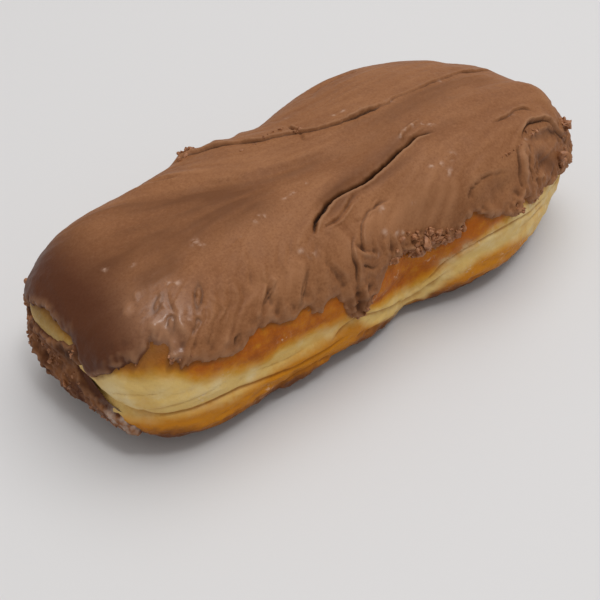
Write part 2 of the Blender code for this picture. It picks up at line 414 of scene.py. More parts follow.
# The chocolate icing
icingLook = {
    # coarse cells of the block each way, the cuts in each cell, and how far down the block goes
    "cells": (15, 7, 3), "cuts": 28, "lowestLevel": -0.72, "triangles": 192000, "backingShare": 0.54,
    "topThickness": 2.5, "rimThickness": 1.55, "lipWidth": 1.7,
    "smearThickness": 1.0, "smearLip": 0.8, "innerDepth": 0.6,
    # the block is cut away this far outside the icing, and below this level
    "cutMargin": 1.1, "lowestKept": -0.93,
    "leastThickness": 0.35, "leastSmear": 0.3, "tuck": (-0.6, -0.9),  # depth and width of the sunk rim
    "cavityTurns": 26, "cavityDepth": 0.6, "cavityFade": (0.4, 1.6),
    "thickensAt": (28, 37),  # heights between rim and top thickness
    "noBeads": (0.85, -86, 16),  # share, place around and reach of the smooth rim over the window
    "coarseRun": (-66, -80),  # where around the smear turns coarse
    "smearUnderCap": (0.2, 1.4),  # the smear fades between these depths inside the thick icing
    # a patch is its strength, place around, height of the place, reach around and reach up
    # painted shade in a hollow of the smear
    "darkHollow": (0.6, -79, 21.6, 3.0, 2.6),
    # thicker and thinner patches of the smear
    "smearLumps": [
        (0.9, -97, 14, 5, 7), (0.9, -98, 25, 4, 3), (-0.7, -78.5, 21, 3.5, 3), (0.5, -84, 12, 8, 4),
    ],
    # random layers: height, size of the lumps, seed
    "stepShake": [(0.3, 5.0, 51), (0.22, 1.1, 52)], "stepStrength": [(0.55, 6.0, 56), (0.2, 1.6, 57)],
    "creaseShake": [(0.25, 2.6, 54), (0.15, 1.0, 55)], "creaseWidth": [(0.16, 4, 64)],
    "alongShake": [(0.35, 2.6, 58), (0.12, 0.9, 59)], "acrossShake": [(0.35, 2.8, 60), (0.12, 0.9, 62)],
    "unevenness": [(0.7, 2.6, 63)], "softLumps": [(0.22, 11, 7), (0.10, 5, 8)],
    "raggedEdge": [(0.6, 2.4, 21), (0.5, 1.0, 22), (0.25, 0.6, 24)],
    "smearEdge": [(0.6, 2.2, 23), (0.5, 0.9, 24)], "beads": [(0.4, 1.9, 65), (0.2, 1.0, 66)],
    # section of a step: where it rises, the lip and the undercut, and the painted shadow line below it
    "stepRise": (-0.1, 0.28), "stepLip": (0.2, 0.35, 0.3), "undercut": (0.6, -0.25, 0.25),
    "stepShadow": (-0.22, 0.2),
    # section of a crease: the fold in front of it, the swell behind it, and the painted shade in its gap
    "frontFold": (0.22, -0.75, 0.6), "backSwell": (0.10, 3.2, 1.6), "creaseShadow": (0.12, 0.42),
    # the thick icing's lower edge: place around the bar, height
    "edge": [
        (-160, 24), (-152, 22), (-146, 25), (-139, 21), (-130, 25.5), (-122, 21.5), (-116, 17),
        (-110, 16), (-106, 18.5), (-103, 16.5), (-100, 19), (-96.5, 22.5), (-93.3, 24.5), (-90.1, 26),
        (-87.1, 26.9), (-84.1, 26.7), (-81, 26.4), (-78.6, 26), (-76.6, 25.3), (-75.4, 23.4),
        (-74.2, 21.8), (-72.7, 21), (-71.2, 21.1), (-70.2, 22.4), (-67.9, 24.9), (-66, 27.2),
        (-64.4, 27.8), (-63.5, 27.8), (-62.9, 29), (-62.5, 30.8), (-61, 31), (-59.4, 30.8), (-58.6, 29.4),
        (-58.1, 27.6), (-57.2, 28.4), (-55.6, 27), (-54, 26.6), (-52, 27.1),
        (-49, 25.8), (-46.5, 25.3), (-43.5, 24.7), (-40.8, 24.8), (-38.8, 26.6), (-36.6, 27.3),
        (-33.5, 26.6), (-30.9, 25.5), (-28.6, 25), (-26.2, 26.5), (-24.5, 25.6), (-23.4, 24.2),
        (-21.4, 22.9), (-20.3, 25.1), (-17.8, 25), (-16.4, 23), (-15.6, 19), (-14.3, 16.6),
        (-12.2, 15.8), (-11, 17), (-10.1, 20), (-8.2, 20.4), (-6.9, 21.6), (-6.2, 23.6),
        (-4.2, 25.2), (-2.2, 25.3), (-0.4, 23.6), (1.6, 24.2), (3.2, 22.2), (5.2, 22.8),
        (7.2, 21.6), (9.4, 21.8), (11.5, 23.4), (13.8, 24.6), (16, 27.2), (18, 27.8), (20, 26.2),
        (22.1, 24.7), (24.4, 24.9), (26.2, 23.8), (27.6, 22.3), (29.4, 24), (31.1, 25.1),
        (33, 23.2), (34.6, 21.9), (37, 21), (39.2, 21.6), (40.9, 22.5), (43, 21.2), (45.5, 20.6),
        (48, 20.6), (50.6, 19.2), (53, 18), (56, 18.4), (59.9, 16), (64, 17.5), (68, 15.2),
        (72, 17.8), (77, 18.6), (82, 15.6), (87, 15), (92, 18.6), (98, 20), (104, 18), (110, 21.5),
        (117, 24.5), (124, 22), (131, 25), (139, 20.5), (147, 24.5), (154, 23.5), (160, 24),
    ],
    # the thin smear down the near end, and where around the bar it is looked for
    "smearSpan": (-115, -55),
    "smear": [
        (-71, 23.4), (-74.6, 22), (-77.2, 20.4), (-77.4, 18), (-75.6, 16.2), (-73.4, 14.6),
        (-70.6, 13), (-68, 12.6), (-66, 12.4), (-64.4, 11.4), (-63.2, 9.8), (-62.8, 8.6),
        (-64, 7.4), (-66.5, 5.4), (-70, 3.6), (-75, 2.6), (-90, 2.4), (-99, 3.4), (-103, 5.6),
        (-106.6, 8.6), (-104.6, 12), (-109, 15.4), (-106, 18.6), (-111, 23), (-103, 30), (-85, 31),
        (-74, 29),
    ],
    # the gap in it where the dough bulges out
    "window": [
        (-97, 19.6), (-94.4, 23.4), (-91, 26.2), (-87, 27.6), (-83.6, 27.8), (-80.3, 27.2), (-77.8, 26.4),
        (-77.3, 25.4), (-79.4, 24.2), (-82.3, 23), (-85.4, 22.2), (-88.6, 21.6), (-92, 20.6), (-95, 18.8),
    ],
    # steps where one sheet of icing lies over another: height, fall, path
    "steps": [
        (0.95, 7.0, [(-27.1, 25.7), (-22.5, 24.4), (-18.7, 21.4), (-14.6, 17.4), (-10.1, 12.9),
                     (-4.1, 9.9),
                     (-0.3, 8.1), (1.3, 6.7), (6.5, 4.6), (11.6, 3), (15.6, 2.7), (19.7, 1.8),
                     (22, 1.5)]),
        (0.5, 6.0, [(19, 2.1), (23.8, 1.5), (25.8, 2.2), (30.8, 1.6), (38.4, 1.9), (46.1, 2.1),
                    (52.3, 2.6),
                    (57.8, 2.2), (66, 2)]),
        (0.6, 4.0, [(38.4, -18.6), (40.6, -19.4), (44.5, -19.2), (48.8, -18.5), (52, -18.9),
                    (54.6, -20.4)]),
        (1.3, 3.5, [(43.6, -27), (45.3, -24.8), (49.9, -23.2), (56.1, -22.9), (59.3, -23.5),
                    (64.2, -23.4),
                    (69.5, -22)]),
        (0.6, 4.0, [(17, -34.4), (18.1, -31.9), (20.5, -30.8), (23.2, -30.7), (27.2, -31.6),
                    (32, -33.6)]),
        (0.5, 4.5, [(1.6, -21.8), (0.1, -21.4), (-4.9, -21.3), (-8, -22.6), (-10.5, -24.3),
                    (-11.3, -27.2),
                    (-10.6, -30)]),
        (0.7, 3.5, [(-12.4, -24.6), (-13.9, -26.2), (-14.4, -28.5), (-13.4, -31), (-13.6, -34),
                    (-13, -37)]),
    ],
    # the deep crease: depth, reach on its front and back side, path
    "creases": [
        (2.3, 0.3, 1.5, [(-21.6, -20.8), (-20.7, -19.4), (-18.2, -17.8), (-14.1, -16.1), (-9.4, -15.4),
                         (-4, -15.4), (0, -15.1), (5, -14.6), (10, -13.9), (15, -13.2), (19, -12.8),
                         (21.9, -13.3), (23.4, -14.4)]),
    ],
    # soft swells of the surface: height, reach along, reach across, place
    "swells": [
        (0.8, 8.0, 7.0, -58, 17), (-0.8, 7.0, 5.0, -40, 25), (-0.7, 8.0, 5.0, -5, 27),
        (0.6, 18.0, 6.0, 32, 28), (-1.1, 5.0, 6.0, 58, 10), (2.6, 5.5, 6.5, 61.5, -14),
        (1.0, 2.6, 3.2, 57.3, -23.5), (-0.9, 5.5, 3.5, 50, -29), (-1.2, 3.2, 3.2, 43, -37),
        (-1.0, 6.0, 3.2, 26, -36), (1.5, 4.2, 2.2, -22.5, 26), (-0.35, 9.0, 4.0, 0, -22),
        (0.35, 12.0, 5.0, 12, -22), (0.3, 5.0, 4.0, -57, -18), (0.8, 2.6, 1.6, -7, 22.6),
        (0.9, 2.5, 2.2, -15, 23.4), (-0.5, 6.0, 3.0, 6, -28), (0.35, 20.0, 8.0, -62, 26),
    ],
    # long low waves across the top: height, reach, path
    "waves": [
        (0.5, 3.2, [(-46, 24), (-38, 19), (-34, 17), (-27, 10.5), (-20, 5), (-12.5, 2.6), (0, 1.4),
                    (14, 0)]),
        (-0.6, 4.2, [(-58, 12.5), (-45, 9), (-36.6, 7.4), (-28, 3), (-20, -2.5), (-10, -6), (6, -7),
                     (16, -6.8)]),
        (0.3, 2.6, [(-35, -9), (-20, -9.6), (-8, -9.8), (10, -9.4), (22, -8)]),
        (-0.3, 2.2, [(18, -6.2), (30, -5.6), (45, -5.4), (60, -5.4)]),
        (0.22, 2.0, [(22, -9.5), (36, -9), (50, -9.5), (60, -10)]),
        (-0.28, 2.4, [(24, -14.5), (32, -15.5), (40, -16.6), (52, -15.5)]),
        (0.3, 1.2, [(-34, 10), (-27, 6.8), (-19, 2.2), (-10, 0), (0, -1.6)]),
        (-0.22, 1.0, [(-32, 7.4), (-25, 4.4), (-17, 0), (-8, -2.4), (4, -3.6)]),
        (0.3, 1.6, [(-20.5, -23), (-12, -20), (0, -18.4), (12, -17), (24, -17)]),
    ],
    # patches: the glossy corner, on the unrolled top, and the painted sheen (lighter and glossier) of the
    # smear's foot
    "glossPatch": (1.3, -62, -17.5, 6.5, 8.5), "sheenPatch": (1.0, -66.5, 11.5, 4.5, 3.0),
    "nearEndRun": (-55.5, -69), "nearEndSlant": 0.06,  # where the icing darkens towards the near end
    # broad painted shade (negative) and painted highlights (positive), with some darker and lighter tone
    # of the icing: strength, reach, path
    "shades": [
        (-0.5, 3.0, [(-64, 21), (-53.8, 18), (-36.6, 7.6), (-21.6, -1), (-8.9, -3.9), (3, -5)]),
        (-0.45, 3.0, [(2, 0), (11, -0.4), (21.3, -2), (40.1, -1.2), (62, -5)]),
        (-0.35, 2.0, [(14, -13), (19.7, -13.7), (27.2, -14.9), (36, -15)]),
        (-0.5, 1.2, [(-20, -19.6), (-10, -17.6), (-2.3, -16.7), (11.3, -16.4), (20, -15)]),
        (-0.55, 3.0, [(-62, -7.2), (-55.3, -8.8), (-47, -10.4)]),
        (0.5, 3.0, [(-46.6, -40), (-44.6, -24)]),
        (0.5, 3.4, [(-40, -42), (-33, -30)]), (0.5, 2.4, [(-17, -20), (-14.6, -31)]),
        (0.6, 4.5, [(2, -28), (12.5, -28.7), (22, -24)]),
        (0.6, 1.3, [(-62.4, -9.8), (-64.2, -10.8), (-65.4, -12.6)]),
        (1.1, 2.2, [(-64.6, -18.4), (-59.6, -21.6)]),
        (0.9, 1.1, [(43.4, -27), (42.5, -28.8), (38.3, -32.6), (34.8, -37), (33.3, -40.6)]),
        (-0.8, 6.0, [(-68, 3), (-57.6, 1.2), (-51.4, -1.3), (-45, -3.5), (-36.9, -3.8), (-29.2, -5),
                     (-18, -8)]),
        (-0.4, 5.0, [(-62, 9), (-48, 6.4), (-36.6, 4.6), (-22, -2)]),
        (-0.7, 2.2, [(-20, -17.4), (-13.6, -15.2), (-8, -13.8), (-2.8, -13.2), (4.5, -12.6), (12, -11.8),
                     (20, -10.4)]),
        (-0.3, 4.5, [(-10, -8.4), (10, -7), (24, -5.6), (46, -5)]),
        (-0.8, 2.6, [(40.6, -33), (44, -38), (48.6, -43.6)]),
        (-0.9, 2.4, [(-14.6, -36), (-13.4, -40), (-12.8, -44)]),
        (0.8, 4.0, [(-16, -27), (-9.9, -25.4), (-4.2, -23.7), (6.7, -24.8), (14.9, -25.6), (20, -24.6)]),
        (0.6, 3.4, [(-46.6, -30), (-43.6, -25.4), (-36.7, -26.6), (-29.6, -27.2), (-24, -25)]),
        (-0.35, 6.0, [(-72, 20), (-63, 15), (-54, 10)]),
        (0.4, 4.0, [(-36, 17), (-27, 11), (-18, 6), (-6, 3)]),
    ],
    # knife lines and folds: height, reach, path
    "lines": [
        (-0.28, 0.42, [(-38.4, 19.8), (-32, 14.5)]), (0.2, 0.5, [(-37.9, 20.9), (-31.4, 15.4)]),
        (-0.7, 0.4, [(-0.3, 13), (-0.5, 10.4), (-0.6, 8.6), (-2.3, 4)]),
        (0.4, 0.45, [(0.4, 12.4), (0.3, 10), (0.2, 8.6)]),
        (-0.5, 0.4, [(62.6, -18.6), (66, -16.6), (69.8, -14.4)]),
        (0.5, 0.6, [(46.4, -27), (50, -26.4), (54, -26), (58, -26.6)]),
        (-0.6, 0.36, [(-13, -27.2), (-10.2, -28.8), (-7.3, -30)]),
        (0.55, 0.4, [(-12.8, -28.2), (-10, -30), (-7.3, -31.2)]),
        (-0.6, 0.36, [(-12.8, -31), (-10.1, -32.5), (-7.2, -33.3)]),
        (-0.55, 0.34, [(-6.1, -28.5), (-6.5, -30.2), (-6.1, -32.5)]),
        (0.5, 0.4, [(-5.3, -28), (-5.5, -30.4), (-5.2, -33)]),
        (-0.55, 0.34, [(-3.7, -28), (-3.5, -31.9), (-4.2, -34.6)]),
        (0.4, 0.5, [(-2.6, -27.4), (-2.2, -31), (-2.4, -34)]),
        (0.45, 0.5, [(-7.5, -26.5), (-7.9, -29.2), (-5.1, -32)]),
        (-0.45, 0.4, [(-8.4, -26.4), (-8.9, -29.4), (-6.6, -32)]),
        (0.35, 0.5, [(-18.4, -19.7), (-14.1, -19.2), (-10.4, -18.3), (-7.6, -16.8)]),
        (0.5, 0.6, [(14.6, -11.5), (17.9, -9.9), (21.1, -9), (24, -8.8)]),
        (-0.3, 0.5, [(-9.8, 14.2), (-8.2, 12.6), (-6.6, 11.6)]),
        (-0.35, 0.5, [(36.8, -18.3), (38.1, -18.1), (40.4, -17.9)]),
        (-0.7, 1.4, [(12.5, 19.2), (13.8, 20), (16.3, 22), (20, 23), (26, 23.4), (33, 23)]),
        (-0.5, 1.3, [(19.6, 33), (23, 33.6), (28, 32.4), (33, 31)]),
        (0.3, 0.5, [(-19.4, -20.4), (-15, -19.2), (-11.3, -17.8), (-7, -16.9)]),
        (-0.5, 0.3, [(-19.4, -20.4), (-15.1, -20), (-10.1, -18.5), (-5.9, -17.1)]),
        (0.4, 0.35, [(-18, -21), (-14.4, -20.8), (-9.6, -19.4), (-5, -18)]),
        (-0.3, 0.3, [(-9.6, -23.8), (-4.9, -21.7), (-0.1, -20.5)]),
        (-0.2, 0.3, [(-12, -21.8), (-9.4, -22.6), (-5, -20.8), (-1.4, -19.8)]),
        (-0.55, 0.8, [(-22.8, -26.6), (-20, -29), (-17.8, -32), (-17, -35.6)]),
        (0.4, 0.7, [(-21.2, -27.2), (-18.6, -29.6), (-16.2, -32.4), (-15.4, -36)]),
        (0.35, 0.6, [(-14.9, -24.6), (-15.1, -27), (-14.2, -29.4)]),
        (-0.4, 0.45, [(-14.2, -26.4), (-11.6, -27.4), (-8.8, -28.2)]),
        (0.9, 0.7, [(43.4, -26.6), (42.5, -28.4), (38.3, -32.3), (34.8, -36.8), (33.3, -40.5),
                    (32.4, -43.4)]),
        (-0.5, 0.5, [(44.6, -29.4), (40.4, -33.4), (36.9, -37.8), (35.4, -41.6)]),
        (-0.4, 0.5, [(40.6, -28.6), (36.6, -32.2), (33, -36.6), (31.4, -40.6)]),
        (0.45, 0.6, [(40.6, -37.4), (45.4, -36.4), (50.6, -34.6), (55, -32)]),
        (-0.8, 0.8, [(29.2, -38.2), (29.9, -41.6)]),
        (-0.4, 0.5, [(50.2, 2.8), (56, 1.8), (60, 2.2)]),
        (0.16, 0.35, [(24, -1.4), (40, -0.8), (60, -0.9)]),
        (-0.14, 0.4, [(20, -3.8), (38, -3.7), (60, -3.9)]),
        (-0.14, 0.45, [(4, 12.8), (20, 13.4), (40, 13.2), (55, 12)]),
        (0.15, 0.5, [(6, 16.4), (22, 17.4), (40, 17.4)]),
        (0.25, 0.5, [(24.5, -8.4), (21, -9.2), (17, -9.9)]),
        (0.3, 0.45, [(24, -12), (21.2, -11.3), (16, -11.7)]),
        (0.2, 0.4, [(18.6, -7.4), (17, -9.4), (15, -11)]),
        (-0.14, 0.4, [(-58, 8.6), (-48, 5.8), (-38, 3.6)]),
        (-0.12, 0.4, [(-55, 12.6), (-44, 12.2), (-36, 10.6)]),
        (-0.5, 0.6, [(-43.6, -34.4), (-42.4, -36.4)]),
        (-0.6, 0.4, [(-15.8, -35.6), (-15.6, -39), (-14.8, -42.6)]),
        (0.6, 0.5, [(-14.9, -36), (-14.6, -39.6), (-14, -43)]),
        (-0.5, 0.4, [(-13.6, -36), (-13.3, -40), (-13, -43.6)]),
        (0.6, 0.5, [(-12.4, -35), (-12.2, -39), (-12.4, -43)]),
        (-0.4, 0.4, [(-11.2, -35.6), (-11, -38.6)]),
    ],
    # soft bowed marks where the knife turned down towards the front: height, reach, path
    "bows": [
        (-0.21, 0.68, [(-35, -11.8), (-40, -13), (-45, -15.2), (-48.8, -17.4), (-52.5, -20.5)]),
        (0.20, 0.68, [(-34, -13.6), (-39.6, -15), (-44.4, -17.2), (-48.6, -20.6)]),
        (-0.26, 0.68, [(-40, -14.9), (-43, -16.4), (-46.3, -19.6), (-48, -23), (-48.6, -27)]),
        (0.21, 0.77, [(-36, -15), (-40.6, -17.4), (-43.6, -21), (-45, -26), (-45, -31)]),
        (-0.21, 0.77, [(-33, -15.6), (-37.6, -18.4), (-41, -23), (-41.6, -28.6)]),
        (0.22, 0.77, [(-30.4, -17), (-34.8, -20), (-38.2, -24.6), (-38.6, -31)]),
        (-0.42, 0.64, [(-38.6, -24), (-37.6, -26.6), (-36.3, -28.6), (-34.2, -32.6)]),
        (0.26, 0.68, [(-36.9, -24), (-35.4, -27.4), (-33, -31.6)]),
        (-0.17, 0.77, [(-27, -18.6), (-30.4, -22.6), (-31.6, -27.6), (-30.6, -34)]),
        (0.17, 0.77, [(-25, -19.6), (-27.4, -24), (-28.2, -29.4), (-27.6, -35)]),
        (-0.15, 0.77, [(-22.6, -21.6), (-24.6, -26), (-24.6, -31)]),
        (-0.35, 0.51, [(-53, -16.6), (-52.2, -19.6), (-52.6, -22.4)]),
        (0.33, 0.59, [(-50.4, -20), (-49.2, -24), (-48.6, -28)]),
        (0.29, 0.59, [(-47.8, -26.4), (-47.3, -30.8)]), (0.29, 0.68, [(-46.4, -32.4), (-45.4, -35)]),
        (0.29, 0.59, [(-39.2, -31.2), (-38.4, -33.6)]), (-0.29, 0.51, [(-50.6, -29), (-50.2, -33)]),
        (-0.29, 0.59, [(-54.6, -27.6), (-54, -31)]), (-0.26, 0.59, [(-33.2, -31), (-32.6, -35)]),
        (-0.38, 0.51, [(-56.2, -13.6), (-57.6, -16.4), (-58.2, -19.6)]),
        (0.33, 0.51, [(-57.2, -12.6), (-58.3, -14.4), (-59.1, -17)]),
        (0.33, 0.59, [(-57, -20.6), (-56.2, -23.4), (-56.4, -26)]),
        (0.29, 0.51, [(-60.6, -8.8), (-61.6, -10), (-62.6, -12)]),
        (0.42, 0.77, [(-64.2, -9.4), (-65.2, -10.8), (-66.4, -13)]),
        (0.33, 0.68, [(-62.6, -16.6), (-64, -18.2), (-65.8, -19.6)]),
        (0.29, 0.59, [(-63.4, -12), (-64.4, -14.4)]),
    ],
    # small oval dents: place, half length and width, slope in degrees, depth
    "dents": [
        (-52.2, -18.9, 2.5, 0.75, 52, 0.32), (-60.1, -19.8, 1.3, 0.8, 35, 0.32),
        (-36.5, -28.7, 1.5, 0.6, 60, 0.3),
        (-59.5, -14.8, 1.9, 0.7, 31, 0.2),
        (-27.1, -31, 2.4, 0.45, 80, 0.24), (-42.6, -35.4, 0.9, 0.6, 80, 0.3),
        (-55.6, -24.4, 1.2, 0.6, 70, 0.2),
    ],
    # which way the knife went: place, slope in degrees
    "strokes": [
        (-75, 5, 80), (-62, 8, -30), (-60, -10, -20), (-55, 12, -14), (-55, 0, -16), (-45, 18, -38),
        (-42, 4, -14), (-40, -8, 8), (-34, 14, -50), (-26, 6, -36), (-20, -2, -18), (-20, -10, 2),
        (-45, -14, 28), (-50, -22, 60), (-55, -28, 84), (-42, -24, 78), (-42, -32, 90), (-33, -18, 52),
        (-33, -28, 100), (-25, -16, 24), (-25, -28, 96), (-18, -26, 120), (-15, -32, 96), (-12, 22, -28),
        (-10, 14, -36), (-8, 6, -14), (0, 0, -6), (0, -10, 3), (0, -18, 8), (0, -24, 24), (-8, -28, 60),
        (4, -32, 40), (10, 16, -6), (12, 8, -12), (15, -10, 14), (15, -18, 10), (15, -26, 24),
        (20, -36, 80), (28, 20, 2), (28, 8, 0), (30, -4, -1), (30, -14, -6), (32, -24, 12), (38, -32, 40),
        (45, 14, -2), (45, 2, 2), (45, -8, 0), (46, -20, 8), (50, -28, 60), (48, -38, 90), (58, 8, -4),
        (58, -14, -14), (62, -24, 80), (30, 36, 60), (-10, 34, 80), (-50, 34, 90), (75, 0, 90),
    ],
    "streakAlong": (-105, 106), "streakAcross": (-60, 60),  # the chart the streaks are combed on
    "streakGrains": [(41, 1), (42, 5)],  # seed, and how many steps wide a grain is
    "streakStep": 0.25, "streakReach": 5.5, "streakHeight": 0.032, "combedHeight": 0.09,
    # crumbly torn patches
    "torn": [
        (1.0, 5, 24.5, 7, 2.6), (0.7, -12, 20, 4, 5), (0.8, 30, 24, 6, 3.5), (0.6, 46, 22, 8, 3),
        (0.6, 59, 24, 6, 8), (0.6, 18, 26, 5, 2.5), (1.0, -104, 20, 4, 6), (0.4, 78, 19, 14, 5),
        (0.7, 39, 28, 4, 5),
        (0.5, 120, 22, 30, 4), (0.6, -135, 22, 22, 4),
    ],
    # grains, each with a painted glint: place, size, height
    "grains": [
        (-61.9, 1, 0.5, 0.35), (-57.4, -2.5, 0.6, 0.4), (-43.9, -6.8, 0.8, 0.45),
        (-43.3, -8.6, 0.7, 0.35),
        (-35, -11.8, 0.5, 0.3), (-30, -10.6, 0.5, 0.3), (-27.8, -11.2, 0.5, 0.35),
        (-28.8, -10.2, 0.4, 0.3),
        (-23.4, -14.5, 0.5, 0.35), (-18, -9.2, 0.5, 0.3), (-13, -8, 0.4, 0.25), (-20.6, -9.4, 0.4, 0.25),
        (-25, -24.3, 0.8, 0.45), (-26.9, -22.4, 0.5, 0.35), (-53.8, -13.6, 0.6, 0.35),
        (15.6, -21, 0.5, 0.3), (17.8, -22, 0.5, 0.3), (18.4, -24.8, 0.7, 0.35), (21.6, -22, 0.8, 0.4),
        (10, 6.7, 0.4, 0.25), (12.6, 6.5, 0.5, 0.3), (23.8, 1.6, 0.6, 0.4), (45.9, -19.9, 0.6, 0.4),
        (-55, -12.4, 0.5, 0.3), (-2.6, -22.4, 0.7, 0.35), (-1.4, -28, 0.7, 0.4), (-4.6, -26.8, 0.6, 0.35),
        (0.8, -28.8, 0.4, 0.4), (42.4, 1.2, 0.5, 0.25), (15.5, -10.8, 0.5, 0.3),
        (18, -9.6, 0.6, 0.3), (20.6, -9.4, 0.6, 0.35), (23, -10.6, 0.5, 0.3), (24.4, -12, 0.6, 0.35),
        (-8.2, -30.6, 0.5, 0.35), (45.2, -27, 0.5, 0.35),
        (51.6, -29, 0.6, 0.35), (6.4, -24.6, 0.4, 0.25), (2.4, 15.8, 0.4, 0.2),
    ],
}


def combStreaks(look):
    # random grain smeared along the knife's strokes, on a chart of the unrolled surface
    step = look["streakStep"]
    along, across = np.arange(*look["streakAlong"], step), np.arange(*look["streakAcross"], step)
    a, b = np.meshgrid(along, across, indexing="ij")
    doubled = np.zeros(a.shape, complex)
    for place, side, slope in look["strokes"]:
        weight = 1 / (((a - place) ** 2 + 1.6 * (b - side) ** 2) ** 1.6 + 30)
        doubled += weight * np.exp(2j * math.radians(slope))
    direction = np.sqrt(doubled / abs(doubled))
    sizeA, sizeB = (len(along) - 1) * step, (len(across) - 1) * step
    fine, broad = (
        np.random.default_rng(seed).normal(0, 1, (a.shape[0] // coarser, a.shape[1] // coarser))
        for seed, coarser in look["streakGrains"]
    )
    grain = 0.5 * fine + 2.2 * readGrid(broad, (a - along[0]) / sizeA, (b - across[0]) / sizeB)
    total = grain.copy()
    for sign in (1, -1):
        x, y, last = a.copy(), b.copy(), direction * sign
        for turn in range(int(look["streakReach"] / step)):
            x, y = x + last.real * step, y + last.imag * step
            fa, fb = (x - along[0]) / sizeA, (y - across[0]) / sizeB
            i = np.clip((fa * (len(along) - 1)).round().astype(int), 0, len(along) - 1)
            j = np.clip((fb * (len(across) - 1)).round().astype(int), 0, len(across) - 1)
            ahead = direction[i, j]
            last = np.where((ahead * last.conj()).real < 0, -ahead, ahead)
            total += readGrid(grain, fa, fb)
    total = total / total.std()
    return lambda first, second: readGrid(total, (first - along[0]) / sizeA, (second - across[0]) / sizeB)


def swell(side, shape):
    # part of a mark's cross section: height, place, reach
    return shape[0] * hump(side, *shape[1:])


def patch(around, height, shape):
    # soft round patch: strength, place around, height of the place, reach around, reach up
    strength, place, up, reachAround, reachUp = shape
    return strength * hump(around, place, reachAround) * hump(height, up, reachUp)


def sideSwells(around, height):
    # swellings of the dough's sides, which the icing over them follows
    return sum(patch(around, height, shape) for shape in doughSwells)


def shadeField(chart, look):
    # broad painted shade and painted highlights on the icing, with some darker and lighter tone
    shade = softMarks(chart["along"], chart["across"], look["shades"], 10.0, span=2.5)
    return np.clip(shade, -1, 1)


wellInside = 9.0  # stands for any depth past the rim where the exact one doesn't matter


def icingRegions(chart, height, look):
    # how far inside the thick icing and the thin smear each point lies
    around, points = chart["around"], len(height)
    low = ~chart["onTop"]
    edge = np.array(look["edge"], float)
    thick = np.full(points, wellInside)
    gap, _, _ = alongPath(edge, around[low], height[low])
    thick[low] = abs(gap) * np.where(height[low] > np.interp(around[low], *edge.T), 1, -1)
    thin = np.full(points, -wellInside)
    end = low & (around < look["smearSpan"][1]) & (around > look["smearSpan"][0])
    for name, sign in (("smear", 1), ("window", -1)):
        loop = look[name]
        inside = insideLoop(loop, around[end], height[end])
        gap, _, _ = alongPath(np.array(loop + loop[:1], float), around[end], height[end])
        distance = abs(gap) * np.where(inside, 1, -1) * sign
        thin[end] = distance if sign > 0 else np.minimum(thin[end], distance)
    return thick, thin


